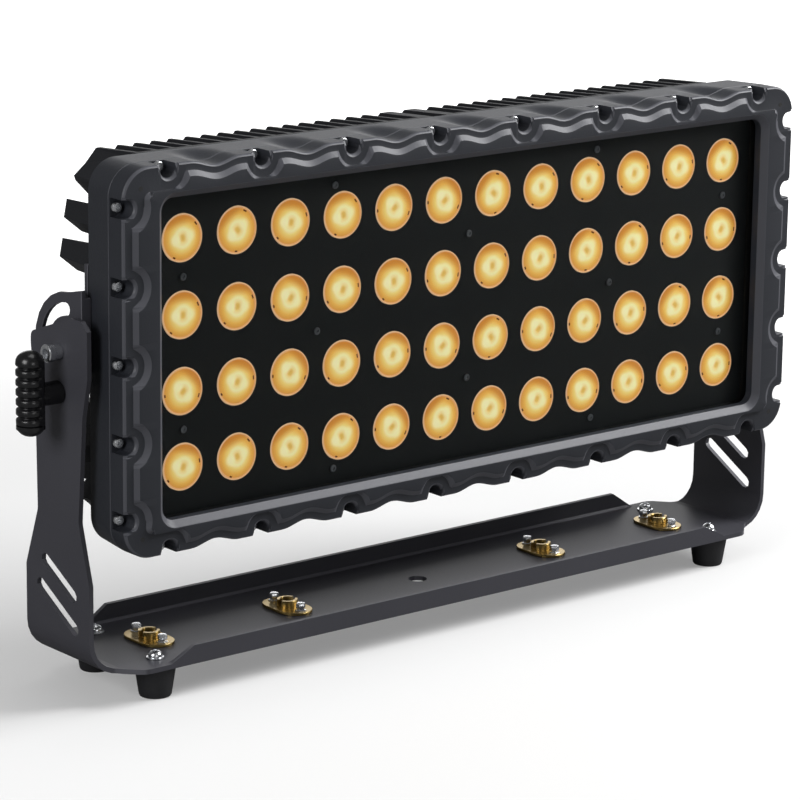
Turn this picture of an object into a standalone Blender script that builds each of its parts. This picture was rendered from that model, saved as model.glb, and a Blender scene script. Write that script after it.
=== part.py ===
# Outdoor LED floodlight: a wide tilting head with 48 lenses in a trunnion yoke with a tray base.
# Metres, +Z up. The lenses face -Y. The floor is z = 0 and the tray's centre line is x = 0, y = 0.

import math

import bmesh
import bpy
from mathutils import Matrix, Vector

# Clearances
GAP = 0.0003                 # between two pieces that touch
RUN = 0.0004                 # round a shank, a stem or a stud
TRAVEL_GAP = 0.0008          # beyond the end of a moving piece's travel

# Lens grid
LENS_COLUMNS = 12
LENS_ROWS = 4
LENS_PITCH_X = 0.03975
LENS_PITCH_Z = 0.046
LENS_RADIUS = 0.0145
LENS_SIDES = 12
LENS_PROUD = 0.0005          # lens face in front of the face plate
LENS_WEB = 0.002
LENS_WEB_BORDER = 0.0035     # web beyond the lens edge
LENS_STEM_RADIUS = 0.0075    # collimator's back end, at the light source

# Window and bezel
WINDOW_MARGIN_X = 0.0085     # lens edge to the inner edge of the window
WINDOW_MARGIN_Z = 0.0129
WINDOW_CORNER = 0.008
LIP = 0.004                  # slope of the window's edge, across and deep
SIDE_BORDER = 0.0238         # window to the head's side
TOP_BORDER = 0.0161
HEAD_CORNER = 0.019
BEZEL_BACK_Y = -0.043
BEZEL_DEPTH = 0.017
RIM_STEP = 0.0024            # height of the plateau over the land at the rim
LIP_LAND = 0.0053            # straight wall between the lip's slope and the glass
# Two lines round the plateau, as depths from the head's edge: the foot of its slope and its own edge.
# The last two are the radius of the bend round a notch, and that bend's centre on the short sides.
SLOPE_FOOT = {"long": 0.0047, "short": 0.0059, "corner": 0.0145, "bend": 0.0118, "centre": 0.0022}
PLATEAU_EDGE = {"long": 0.0085, "short": 0.0095, "corner": 0.0175, "bend": 0.0145, "centre": 0.0038}
SCALLOP_DEPTH = 0.0036
SCALLOP_LAND = 0.0158        # half width of the land at each screw
TOP_SCREWS = 8
SIDE_SCREWS = 5
TOP_SCREW_INSET = 0.0321     # last screw to the head's side
SIDE_SCREW_INSET = 0.0235
NOTCH_RADIUS = 0.0056
NOTCH_DEPTH = 0.0027         # edge to the centre of the notch's round end
NOTCH_FLOOR = 0.0015
NOTCH_STOPS = (-0.0132, -0.0105, -0.006, 0.0, 0.006, 0.0105, 0.0132)
STOP_SPACING = 0.0012        # outline points closer than this are dropped
CORNER_HOLE = 0.0015         # blind holes in the bezel's corners
CORNER_HOLE_INSET_X = 0.0125
CORNER_HOLE_INSET_Z = 0.0123
CORNER_HOLE_DEPTH = 0.005

# Glass, seals and face plate
GLASS = 0.004
GLASS_LAP = 0.005            # glass behind the lip
SEAL = 0.0012
SEAL_WIDTH = 0.0045
FACE_PLATE = 0.0015
GASKET_WIDTH = 0.004
GASKET_THICK = 0.0014
GASKET_INSET = 0.0065        # groove's inner wall to the cavity
LED_BOARD = 0.0016
LED_PITCH_BORDER = 0.012     # board beyond the last light source

# Housing and heat sinks
HOUSING_DEPTH = 0.0267
HOUSING_TAPER_X = 0.0041
HOUSING_TAPER_Z = 0.0005
HOUSING_BACK_WALL = 0.004
HOUSING_WALL = 0.0165
SINK_PLATE = 0.004
FIN_DEPTH = 0.0412
FIN_PITCH = 0.0127
FIN_ROOT = 0.0034
FIN_TIP = 0.0022
FIN_FALL = 0.003             # drop of a fin's end from its root to its tip
FIN_CHAMFER = 0.0028         # rear corners of a fin, top and bottom
SINK_TOP_INSET = 0.0005      # sink's top to the head's top
SINK_SIDE_INSET = 0.0358     # sink's side to the housing's rear edge
SINK_BLOCK = 0.0035          # solid block at a bank's outer end
BANK_GAP = 0.011             # between the two banks
BANK_BLOCK = 0.009           # solid rib at a bank's inner end
PRONG_REACHES = (0.0210, 0.0243)
PRONG_TOPS = (0.0839, 0.0606)    # above the head's centre, at the rear
PRONG_FACE = 0.011           # height of a prong's outer face at the rear
PRONG_LEAN = 0.0022          # lean of that face
PRONG_DROP = 0.0100          # fall of the facet under that face
PRONG_FACET = 0.0125         # width of that facet
PRONG_TOP_FALL = 0.0065      # fall of the top towards the root
PRONG_DRAFT = 0.0015         # growth of a prong towards the housing
PRONG_PROUD = 0.0015         # prongs behind the fins, corner blocks short of them
CORNER_REACH = 0.0145
CORNER_TIP = 0.0948          # above the head's centre
CORNER_TIP_HEIGHT = 0.003
CORNER_FALL = 0.0165         # fall of the corner block's underside towards the root
CORNER_SHOULDER = 0.1046
CORNER_SHOULDER_OUT = 0.0072

# Yoke
SHEET = 0.003
ARM_CLEARANCE = 0.0066       # head's side to the arm's inner face
BEND_RADIUS = 0.021          # outside
BEND_STEPS = 6
TRAY_HALF_DEPTH = 0.0477
TRAY_SHOULDER = 0.010        # rounding where the tray narrows to the arm
FRONT_FLANGE = 0.0118        # from the tray's underside
BACK_FLANGE = 0.0144
FLANGE_END_LOW = 0.050       # flange's lower corner to the arm's outer face
FLANGE_END_HIGH = 0.067
FLANGE_BEND = 0.003
ARM_FLARE_Y = -0.0008
ARM_FLARE_HALF = 0.0333
ARM_FLARE_TOP = 0.0565       # above the tray's underside
ARM_WAIST_Y = -0.0021
ARM_WAIST_HALF = 0.0215
ARM_WAIST_TOP = 0.093
ARM_KNEE = 0.1578            # bend in the edges between the waist and the pivot
ARM_KNEE_FRONT = 0.0236      # in front of the pivot
ARM_KNEE_BACK = 0.0255       # behind the pivot
ARM_HEAD_FRONT = 0.0388      # top corners before their rounding, from the pivot
ARM_HEAD_BACK = 0.0297
ARM_TOP_FRONT = 0.0316       # above the pivot
ARM_TOP_BACK = 0.0069
ARM_CORNER = 0.010
ARM_TOP_CORNER = 0.0155      # upper front corner
SLOT_WIDTH = 0.0078
SLOT_TILT = 29.5             # degrees
# Each slot: centre Y, centre above the tray's underside, length
ARM_SLOTS = ((-0.0007, 0.0367, 0.0490), (-0.0025, 0.0551, 0.0410))

# Tilt hardware
PIVOT_Y = -0.005
PIVOT_HEIGHT = 0.1938        # above the tray's underside
HEAD_DROP = 0.002            # head's centre below the pivot
PIVOT_SHANK = 0.004
PIVOT_SLEEVE = 0.005
PIVOT_SLEEVE_LENGTH = 0.0046
PIVOT_HEAD = 0.0055
PIVOT_HEAD_LENGTH = 0.0048
PIVOT_SOCKET = 0.003
WASHER_RADIUS = 0.009
WASHER = 0.0024
PIVOT_NUT = 0.0068
PIVOT_NUT_LENGTH = 0.0045
CLAMP_RADIUS = 0.0242        # arc slot's centre line about the pivot
CLAMP_STUD = 0.0036
CLAMP_NUT = 0.0065
CLAMP_NUT_LENGTH = 0.0028
QUADRANT_SHEET = 0.003
QUADRANT_RADIUS = 0.0345
QUADRANT_RISE = 0.0035       # rise of its top edge towards the front
QUADRANT_FRONT = 0.015       # its front edge before the pivot
PAD_LOW = 0.012              # fixing pad below the pivot
PAD_HIGH = 0.033             # pad that joins the plate, above the pivot
PAD_TOP = 0.0520             # pad behind the housing, above the pivot
PAD_BACK = 0.0072            # pad's back before the pivot
PAD_REACH = 0.009            # pad behind the housing's rear edge, inwards
TILT_BACK = 175.0            # degrees, lenses up and over
TILT_DOWN = 12.0
HANDLE_SHAFT = 0.007
HANDLE_STANDOFF = 0.0203     # bar's axis to the arm
HANDLE_BAR = 0.0086
HANDLE_LENGTH = 0.0515
HANDLE_RISE = 0.0018         # bar's middle above its shaft
HANDLE_SIDES = 10
HANDLE_RIBS = 7
HANDLE_RIB_PITCH = 0.0055
HANDLE_GROOVE = 0.0013
HANDLE_GROOVE_WIDTH = 0.0026
HANDLE_END = 0.0069          # length of the bar's rounded end

# Feet and quick-lock receptacles
FOOT_HEIGHT = 0.0199
FOOT_TOP = 0.013
FOOT_BOTTOM = 0.010
FOOT_INSET_X = 0.049         # foot's axis to the arm's outer face
FOOT_Y = 0.0315
FOOT_SCREW = 0.0025
FOOT_SCREW_HEAD = 0.0043
FOOT_SCREW_DOME = 0.0048
FOOT_SCREW_RIM = 0.002       # straight part under the dome
FOOT_SCREW_SHOULDER = 0.004  # dome's bend: height and radius
FOOT_SCREW_BEND = 0.0032
FOOT_SCREW_LENGTH = 0.012    # below the tray's top
FOOT_CHAMFER = 0.0008
LOCK_PITCH = 0.106
LOCK_SPOTS = (-2, -1, 1, 2)
LOCK_LENGTH = 0.038
LOCK_WIDTH = 0.022
LOCK_PLATE = 0.0015
LOCK_RING = 0.0068
LOCK_RING_HEIGHT = 0.006
LOCK_BORE = 0.0045
TRAY_LOCK_HOLE = 0.008
LOCK_SCREW = 0.0024
LOCK_SCREW_PITCH = 0.0275
LOCK_SCREW_HEIGHT = 0.0055
CENTRE_HOLE = 0.00625

# Driver box on the back
BOX_HALF_WIDTH = 0.095
BOX_HALF_HEIGHT = 0.055
BOX_DEPTH = 0.0263
BOX_WALL = 0.003
BOX_CORNER = 0.010
COVER = 0.0026
SUPPLY_HEIGHT = 0.088
SUPPLY_DEPTH = 0.0135
BOARD_WIDTH = 0.070
BOARD_HEIGHT = 0.090
BOARD_THICK = 0.0016
BOARD_CORNER = 0.002
BOARD_TO_WALL = 0.007        # board's right side to the box's inner wall
BOARD_TO_SUPPLY = 0.0017
BOARD_POST = 0.0040
BOARD_POST_RADIUS = 0.0028
BOARD_POST_INSET = 0.006
DISPLAY_WIDTH = 0.044
DISPLAY_HEIGHT = 0.020
DISPLAY_RISE = 0.014         # display's centre above the box's centre
DISPLAY_THICK = 0.0018
DISPLAY_CORNER = 0.0017
BUTTON_COUNT = 4
BUTTON_PITCH = 0.013
BUTTON_RADIUS = 0.0042
BUTTON_PROUD = 0.001
BUTTON_FLANGE = 0.0012
BUTTON_FLANGE_LAP = 0.0012
BUTTON_DROP = 0.012          # row of buttons below the box's centre
SOCKET_PITCH = 0.036
SOCKET_FLANGE = 0.0105       # half width
SOCKET_FLANGE_THICK = 0.002
SOCKET_CORNER = 0.003
SOCKET_BARREL = 0.0085
SOCKET_LENGTH = 0.018
SOCKET_BORE = 0.006
SOCKET_BORE_DEPTH = 0.012
VENT_RADIUS = 0.008
VENT_LENGTH = 0.005
VENT_RIM = 0.0035            # straight part of its rim
VENT_CROWN = 0.0064
EYE_RING = 0.009
EYE_WIRE = 0.0025
EYE_STEM = 0.006
EYE_STEM_RADIUS = 0.0032
EYE_FOOT = 0.008
EYE_FOOT_THICK = 0.0025

# Points round a circle, along the arc slot, round its ends, and the most of an edge that one rounded corner takes
ROUND = 16
SMALL_ROUND = 12
ARC_STEPS = 20
END_STEPS = 6
CORNER_SHARE = 0.45

# Worked out from the sizes above
GRID_HALF_X = (LENS_COLUMNS - 1) / 2 * LENS_PITCH_X
GRID_HALF_Z = (LENS_ROWS - 1) / 2 * LENS_PITCH_Z
WINDOW_X = GRID_HALF_X + LENS_RADIUS + WINDOW_MARGIN_X
WINDOW_Z = GRID_HALF_Z + LENS_RADIUS + WINDOW_MARGIN_Z
HEAD_X = WINDOW_X + LIP + SIDE_BORDER
HEAD_Z = WINDOW_Z + LIP + TOP_BORDER
TRAY_UNDER = FOOT_HEIGHT + GAP
TRAY_TOP = TRAY_UNDER + SHEET
ARM_IN = HEAD_X + ARM_CLEARANCE
ARM_OUT = ARM_IN + SHEET
PIVOT_Z = TRAY_UNDER + PIVOT_HEIGHT
HEAD_CENTRE = PIVOT_Z - HEAD_DROP
BEZEL_FRONT_Y = BEZEL_BACK_Y - BEZEL_DEPTH
HOUSING_FRONT_Y = BEZEL_BACK_Y + GAP
HOUSING_BACK_Y = HOUSING_FRONT_Y + HOUSING_DEPTH
CAVITY_X = HEAD_X - HOUSING_TAPER_X - HOUSING_WALL
CAVITY_Z = HEAD_Z - HOUSING_TAPER_Z - HOUSING_WALL
CAVITY_FLOOR_Y = HOUSING_BACK_Y - HOUSING_BACK_WALL
GLASS_FRONT_Y = BEZEL_FRONT_Y + LIP + LIP_LAND + GAP
GLASS_BACK_Y = GLASS_FRONT_Y + GLASS
FACE_FRONT_Y = GLASS_BACK_Y + GAP + SEAL + GAP
FACE_BACK_Y = FACE_FRONT_Y + FACE_PLATE
LENS_FRONT_Y = FACE_FRONT_Y - LENS_PROUD
WEB_FRONT_Y = FACE_BACK_Y + GAP
LED_FRONT_Y = CAVITY_FLOOR_Y - GAP - LED_BOARD
SINK_FRONT_Y = HOUSING_BACK_Y + GAP
SINK_BACK_Y = SINK_FRONT_Y + SINK_PLATE + FIN_DEPTH
SINK_SIDE = HEAD_X - HOUSING_TAPER_X - SINK_SIDE_INSET
SINK_Z = HEAD_Z - SINK_TOP_INSET
QUADRANT_OUT = ARM_IN - GAP - WASHER - GAP
QUADRANT_IN = QUADRANT_OUT - QUADRANT_SHEET
CLAMP_Z = PIVOT_Z - CLAMP_RADIUS
FOOT_X = ARM_OUT - FOOT_INSET_X
BOX_FRONT_Y = SINK_BACK_Y + GAP
BOX_RIM_Y = BOX_FRONT_Y + BOX_DEPTH
COVER_IN_Y = BOX_RIM_Y + GAP
COVER_OUT_Y = COVER_IN_Y + COVER
PANEL_X = BOX_HALF_WIDTH - BOX_WALL - BOARD_TO_WALL - BOARD_WIDTH / 2
SUPPLY_LEFT = -BOX_HALF_WIDTH + BOX_WALL + GAP
SUPPLY_RIGHT = PANEL_X - BOARD_WIDTH / 2 - BOARD_TO_SUPPLY


# Building blocks

def clear_scene():
    for old in list(bpy.data.objects):
        bpy.data.objects.remove(old, do_unlink=True)


def plain_material(name, colour, roughness, metallic):
    material = bpy.data.materials.new(name)
    material.use_nodes = True
    shader = material.node_tree.nodes["Principled BSDF"]
    shader.inputs["Base Color"].default_value = (*colour, 1.0)
    shader.inputs["Roughness"].default_value = roughness
    shader.inputs["Metallic"].default_value = metallic
    material.diffuse_color = (*colour, 1.0)
    return material


FINISHES = {
    "coat": ((0.035, 0.036, 0.042), 0.45, 0.0),
    "cast": ((0.040, 0.041, 0.048), 0.50, 0.0),
    "face": ((0.010, 0.012, 0.014), 0.60, 0.0),
    "lens": ((0.90, 0.60, 0.25), 0.20, 0.0),
    "glass": ((0.85, 0.90, 0.90), 0.05, 0.0),
    "rubber": ((0.020, 0.020, 0.020), 0.80, 0.0),
    "steel": ((0.60, 0.60, 0.60), 0.30, 1.0),
    "brass": ((0.45, 0.36, 0.20), 0.35, 1.0),
    "plastic": ((0.015, 0.015, 0.015), 0.30, 0.0),
    "board": ((0.020, 0.090, 0.040), 0.50, 0.0),
}


def add_piece(name, bm, finish, origin=(0.0, 0.0, 0.0)):
    bmesh.ops.remove_doubles(bm, verts=bm.verts, dist=1e-6)
    bmesh.ops.recalc_face_normals(bm, faces=bm.faces)
    bmesh.ops.translate(bm, verts=bm.verts, vec=-Vector(origin))
    mesh = bpy.data.meshes.new(name)
    bm.to_mesh(mesh)
    bm.free()
    piece = bpy.data.objects.new(name, mesh)
    piece.location = origin
    bpy.context.scene.collection.objects.link(piece)
    if finish:
        mesh.materials.append(plain_material(name, *FINISHES[finish]))
        mesh.shade_smooth()
        mesh.set_sharp_from_angle(angle=math.radians(35))
    return piece


def combine(piece, bm, operation):
    tool = add_piece(piece.name + "_tool", bm, None)
    tool.hide_render = True
    tool.display_type = "WIRE"
    change = piece.modifiers.new(operation.lower(), "BOOLEAN")
    change.operation = operation
    change.solver = "EXACT"
    change.object = tool
    return piece


def ring(bm, points):
    return [bm.verts.new(point) for point in points]


def strip(bm, first, second):
    count = len(first)
    for i in range(count):
        j = (i + 1) % count
        bm.faces.new((first[i], first[j], second[j], second[i]))


def loop_edges(bm, loop):
    found = []
    for i, vert in enumerate(loop):
        other = loop[(i + 1) % len(loop)]
        edge = bm.edges.get((vert, other)) or bm.edges.new((vert, other))
        found.append(edge)
    return found


def fill(bm, *loops):
    edges = [edge for loop in loops for edge in loop_edges(bm, loop)]
    bmesh.ops.triangle_fill(bm, use_beauty=True, use_dissolve=False, edges=edges)


def place(axis, along, u, v):
    # A point from its place along an axis and the two other coordinates in X, Y, Z order.
    if axis == "X":
        return (along, u, v)
    if axis == "Y":
        return (u, along, v)
    return (u, v, along)


def prism(bm, outline, axis, low, high):
    bottom = ring(bm, [place(axis, low, u, v) for u, v in outline])
    top = ring(bm, [place(axis, high, u, v) for u, v in outline])
    strip(bm, bottom, top)
    bm.faces.new(bottom)
    bm.faces.new(top)


def turned(bm, profile, axis, centre, steps):
    # Revolves (radius, place along the axis) pairs. A radius of zero is a point on the axis.
    rings = []
    for radius, along in profile:
        if radius == 0:
            u, v = centre
            rings.append([bm.verts.new(place(axis, along, u, v))])
            continue
        turn = [2 * math.pi * (k + 0.5) / steps for k in range(steps)]
        spots = [(centre[0] + radius * math.cos(a), centre[1] + radius * math.sin(a)) for a in turn]
        rings.append(ring(bm, [place(axis, along, u, v) for u, v in spots]))
    for first, second in zip(rings, rings[1:]):
        join_rings(bm, first, second, steps)
    if len(rings[0]) > 1 and len(rings[-1]) > 1:
        join_rings(bm, rings[-1], rings[0], steps)


def join_rings(bm, first, second, steps):
    if len(first) > 1 and len(second) > 1:
        strip(bm, first, second)
        return
    pole, rim = (first[0], second) if len(first) == 1 else (second[0], first)
    for k in range(steps):
        bm.faces.new((pole, rim[k], rim[(k + 1) % steps]))


def rod(bm, axis, centre, low, high, radius, steps=SMALL_ROUND):
    turned(bm, [(0, low), (radius, low), (radius, high), (0, high)], axis, centre, steps)


def tube(bm, axis, centre, low, high, bore, radius, steps=ROUND):
    turned(bm, [(bore, low), (radius, low), (radius, high), (bore, high)], axis, centre, steps)


def nut(bm, centre, low, high, bore, radius):
    # A hexagonal nut along X.
    hexagon = circle(centre, radius, 6)
    hole = circle(centre, bore, SMALL_ROUND)
    outer = [ring(bm, [place("X", x, u, v) for u, v in hexagon]) for x in (low, high)]
    inner = [ring(bm, [place("X", x, u, v) for u, v in hole]) for x in (low, high)]
    strip(bm, outer[0], outer[1])
    strip(bm, inner[0], inner[1])
    fill(bm, outer[0], inner[0])
    fill(bm, outer[1], inner[1])


def rounded_box(half_u, half_v, radius, steps=4, centre=(0.0, 0.0)):
    corners = [(1, 1, 0), (-1, 1, 90), (-1, -1, 180), (1, -1, 270)]
    points = []
    for sign_u, sign_v, start in corners:
        for k in range(steps + 1):
            a = math.radians(start + 90 * k / steps)
            u = centre[0] + sign_u * (half_u - radius) + radius * math.cos(a)
            v = centre[1] + sign_v * (half_v - radius) + radius * math.sin(a)
            points.append((u, v))
    return points


def round_corners(points, radius, steps=4):
    # Replaces each corner of a polygon with an arc. Radius is one value, or one for each corner.
    radii = radius if isinstance(radius, (list, tuple)) else [radius] * len(points)
    result = []
    for i, here in enumerate(points):
        before = Vector(points[i - 1]) - Vector(here)
        after = Vector(points[(i + 1) % len(points)]) - Vector(here)
        half = before.angle(after) / 2
        if radii[i] == 0:
            result.append(tuple(here))
            continue
        setback = min(radii[i] / math.tan(half), before.length * CORNER_SHARE, after.length * CORNER_SHARE)
        bow = setback * math.tan(half)
        centre = Vector(here) + (before.normalized() + after.normalized()).normalized() * bow / math.sin(half)
        start = Vector(here) + before.normalized() * setback - centre
        sweep = start.angle_signed(Vector(here) + after.normalized() * setback - centre)
        for k in range(steps + 1):
            turn = Matrix.Rotation(-sweep * k / steps, 2)
            result.append(tuple(centre + turn @ start))
    return result


def slot_outline(centre, length, width, tilt, steps=4):
    # A round-ended slot. Tilt is in degrees from the first coordinate.
    reach = (length - width) / 2
    points = []
    for side in (0, 180):
        for k in range(steps + 1):
            a = math.radians(side - 90 + 180 * k / steps)
            u = math.cos(math.radians(side)) * reach + width / 2 * math.cos(a)
            v = width / 2 * math.sin(a)
            points.append(Matrix.Rotation(math.radians(tilt), 2) @ Vector((u, v)))
    return [(centre[0] + p.x, centre[1] + p.y) for p in points]


def circle(centre, radius, steps, start=0.5):
    turn = [2 * math.pi * (k + start) / steps for k in range(steps)]
    return [(centre[0] + radius * math.cos(a), centre[1] + radius * math.sin(a)) for a in turn]


def head_box(half_x, half_z, radius, steps=5):
    return rounded_box(half_x, half_z, radius, steps, (0.0, HEAD_CENTRE))


def at_y(outline, y):
    return [(x, y, z) for x, z in outline]


# The head's outline, with scallops between the screws of its long sides

def perimeter_length():
    straight = 4 * (HEAD_X - HEAD_CORNER) + 4 * (HEAD_Z - HEAD_CORNER)
    return straight + 2 * math.pi * HEAD_CORNER


def perimeter_point(s):
    # Point and inward normal at s along the outline, clockwise from the middle of the top.
    flat_x = HEAD_X - HEAD_CORNER
    flat_z = HEAD_Z - HEAD_CORNER
    arc = math.pi / 2 * HEAD_CORNER
    s %= perimeter_length()
    side = 0
    # The last span is longer than it needs, so that rounding never runs past it.
    spans = [flat_x, arc, 2 * flat_z, arc, 2 * flat_x, arc, 2 * flat_z, arc, 2 * flat_x]
    while s > spans[side]:
        s -= spans[side]
        side += 1
    corner_signs = {1: (1, 1, 90), 3: (1, -1, 0), 5: (-1, -1, 270), 7: (-1, 1, 180)}
    if side in corner_signs:
        sign_x, sign_z, start = corner_signs[side]
        a = math.radians(start) - s / HEAD_CORNER
        point = (sign_x * flat_x + HEAD_CORNER * math.cos(a), sign_z * flat_z + HEAD_CORNER * math.sin(a))
        return point, (-math.cos(a), -math.sin(a))
    if side in (0, 8):
        return ((s if side == 0 else s - flat_x), HEAD_Z), (0, -1)
    if side == 2:
        return (HEAD_X, flat_z - s), (-1, 0)
    if side == 4:
        return (flat_x - s, -HEAD_Z), (0, 1)
    return (-HEAD_X, s - flat_z), (1, 0)


def screw_xs():
    first = HEAD_X - TOP_SCREW_INSET
    return [-first + 2 * first * k / (TOP_SCREWS - 1) for k in range(TOP_SCREWS)]


def screw_zs():
    first = HEAD_Z - SIDE_SCREW_INSET
    return [-first + 2 * first * k / (SIDE_SCREWS - 1) for k in range(SIDE_SCREWS)]


def side_distance(z):
    # Distance along the right-hand side to height z, from the start of its upper corner arc.
    flat_z = HEAD_Z - HEAD_CORNER
    arc = math.pi / 2 * HEAD_CORNER
    if abs(z) <= flat_z:
        return arc + flat_z - z
    over = math.asin(min(1.0, (abs(z) - flat_z) / HEAD_CORNER)) * HEAD_CORNER
    return arc - over if z > 0 else arc + 2 * flat_z + over


def screw_places():
    flat_x = HEAD_X - HEAD_CORNER
    arc = math.pi / 2 * HEAD_CORNER
    half = perimeter_length() / 2
    places = [x % (2 * half) for x in screw_xs()]
    places += [half + x for x in screw_xs()]
    places += [flat_x + side_distance(z) for z in screw_zs()]
    places += [half + flat_x + side_distance(z) for z in screw_zs()]
    return places


def scallop_spans():
    half = perimeter_length() / 2
    xs = screw_xs()
    spans = [(a + SCALLOP_LAND, b - SCALLOP_LAND) for a, b in zip(xs, xs[1:])]
    return spans + [(a + half, b + half) for a, b in spans]


def wrapped(distance):
    whole = perimeter_length()
    return (distance + whole / 2) % whole - whole / 2


def scallop(s):
    for low, high in scallop_spans():
        away = wrapped(s - (low + high) / 2)
        half = (high - low) / 2
        if abs(away) < half:
            return SCALLOP_DEPTH * 0.5 * (1 + math.cos(math.pi * away / half))
    return 0.0


def contour(s, line):
    # Inward depth of a line that follows the edge, bends round each notch and cuts the corners.
    (x, z), (nx, nz) = perimeter_point(s)
    beside = abs(x) > HEAD_X - TOP_SCREW_INSET
    if beside and abs(z) > HEAD_Z - SIDE_SCREW_INSET:
        depth = line["corner"]
    elif beside:
        depth = line["short"]
    else:
        depth = line["long"] + scallop(s)
    for spot in screw_places():
        away = abs(wrapped(s - spot))
        if away < line["bend"]:
            on_short_side = abs(perimeter_point(spot)[1][0]) == 1
            centre = line["centre"] if on_short_side else NOTCH_DEPTH
            depth = max(depth, centre + math.sqrt(line["bend"] ** 2 - away ** 2))
    if abs(nx) == 1:
        return depth
    return min(depth, line["corner"] if nx else TOP_BORDER - STOP_SPACING)


def outline_stops(notches):
    # Where the outline has a point: along each scallop, round each corner and at each notch.
    whole = perimeter_length()
    stops = []
    for low, high in scallop_spans():
        stops += [low + (high - low) * k / 6 for k in range(7)]
    flat_x = HEAD_X - HEAD_CORNER
    arc = math.pi / 2 * HEAD_CORNER
    for start in (flat_x, flat_x + arc + 2 * (HEAD_Z - HEAD_CORNER)):
        for turn in (0, whole / 2):
            stops += [start + turn + arc * k / 5 for k in range(6)]
    if notches:
        stops += [spot + step for spot in screw_places() for step in NOTCH_STOPS]
    stops = sorted(s % whole for s in stops)
    kept = [stops[0]]
    for s in stops[1:]:
        if s - kept[-1] > STOP_SPACING:
            kept.append(s)
    return kept


def outline_ring(stops, y, depth):
    points = []
    for s in stops:
        (x, z), (nx, nz) = perimeter_point(s)
        d = depth(s)
        points.append((x + nx * d, y, HEAD_CENTRE + z + nz * d))
    return points


# The head's pieces

def make_bezel():
    bm = bmesh.new()
    stops = outline_stops(notches=True)
    land_y = BEZEL_FRONT_Y + RIM_STEP
    back = ring(bm, outline_ring(stops, BEZEL_BACK_Y, scallop))
    land = ring(bm, outline_ring(stops, land_y, scallop))
    foot = ring(bm, outline_ring(stops, land_y, lambda s: contour(s, SLOPE_FOOT)))
    head = ring(bm, outline_ring(stops, BEZEL_FRONT_Y, lambda s: contour(s, PLATEAU_EDGE)))
    for first, second in zip((back, land, foot), (land, foot, head)):
        strip(bm, first, second)
    lip_y = BEZEL_FRONT_Y + LIP
    seat_y = lip_y + LIP_LAND
    seat_x = WINDOW_X + GLASS_LAP + GAP
    seat_z = WINDOW_Z + GLASS_LAP + GAP
    window = ring(bm, at_y(head_box(WINDOW_X + LIP, WINDOW_Z + LIP, WINDOW_CORNER + LIP), BEZEL_FRONT_Y))
    inner = ring(bm, at_y(head_box(WINDOW_X, WINDOW_Z, WINDOW_CORNER), lip_y))
    lower = ring(bm, at_y(head_box(WINDOW_X, WINDOW_Z, WINDOW_CORNER), seat_y))
    seat = ring(bm, at_y(head_box(seat_x, seat_z, WINDOW_CORNER + GLASS_LAP), seat_y))
    rear = ring(bm, at_y(head_box(seat_x, seat_z, WINDOW_CORNER + GLASS_LAP), BEZEL_BACK_Y))
    for first, second in zip((window, inner, lower, seat), (inner, lower, seat, rear)):
        strip(bm, first, second)
    fill(bm, head, window)
    fill(bm, back, rear)
    bezel = add_piece("bezel", bm, "cast")
    return combine(bezel, notch_tool(), "DIFFERENCE")


def notch_tool():
    bm = bmesh.new()
    beyond = NOTCH_RADIUS
    for s in screw_places():
        (x, z), (nx, nz) = perimeter_point(s)
        outline = [(NOTCH_DEPTH + NOTCH_RADIUS * math.cos(a), NOTCH_RADIUS * math.sin(a))
                   for a in [math.pi * (k / 6 - 0.5) for k in range(7)]]
        outline = [(-beyond, -NOTCH_RADIUS)] + outline + [(-beyond, NOTCH_RADIUS)]
        points = [(x + nx * d - nz * w, HEAD_CENTRE + z + nz * d + nx * w) for d, w in outline]
        prism(bm, points, "Y", BEZEL_FRONT_Y - beyond, BEZEL_BACK_Y - NOTCH_FLOOR)
    hole_x = HEAD_X - CORNER_HOLE_INSET_X
    hole_z = HEAD_Z - CORNER_HOLE_INSET_Z
    floor = BEZEL_FRONT_Y + CORNER_HOLE_DEPTH
    for x, z in ((-hole_x, -hole_z), (-hole_x, hole_z), (hole_x, -hole_z), (hole_x, hole_z)):
        rod(bm, "Y", (x, HEAD_CENTRE + z), BEZEL_FRONT_Y - beyond, floor, CORNER_HOLE, 8)
    return bm


def make_housing():
    bm = bmesh.new()
    stops = outline_stops(notches=False)
    front = ring(bm, outline_ring(stops, HOUSING_FRONT_Y, scallop))
    taper_x = (HEAD_X - HOUSING_TAPER_X) / HEAD_X
    taper_z = (HEAD_Z - HOUSING_TAPER_Z) / HEAD_Z
    plain = outline_ring(stops, HOUSING_BACK_Y, lambda s: 0.0)
    back = ring(bm, [(x * taper_x, y, HEAD_CENTRE + (z - HEAD_CENTRE) * taper_z) for x, y, z in plain])
    strip(bm, front, back)
    bm.faces.new(back)
    corner = WINDOW_CORNER
    groove_in = GASKET_INSET
    groove_out = GASKET_INSET + GASKET_WIDTH + 2 * GAP
    groove_y = HOUSING_FRONT_Y + GASKET_THICK + GAP
    outer = head_box(CAVITY_X + groove_out, CAVITY_Z + groove_out, corner + groove_out)
    inner = head_box(CAVITY_X + groove_in, CAVITY_Z + groove_in, corner + groove_in)
    cavity = head_box(CAVITY_X, CAVITY_Z, corner)
    rings = [ring(bm, at_y(outline, y)) for outline, y in (
        (outer, HOUSING_FRONT_Y), (outer, groove_y), (inner, groove_y), (inner, HOUSING_FRONT_Y),
        (cavity, HOUSING_FRONT_Y), (cavity, CAVITY_FLOOR_Y))]
    for first, second in zip(rings, rings[1:]):
        strip(bm, first, second)
    bm.faces.new(rings[-1])
    fill(bm, front, rings[0])
    return add_piece("housing", bm, "cast")


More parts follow.
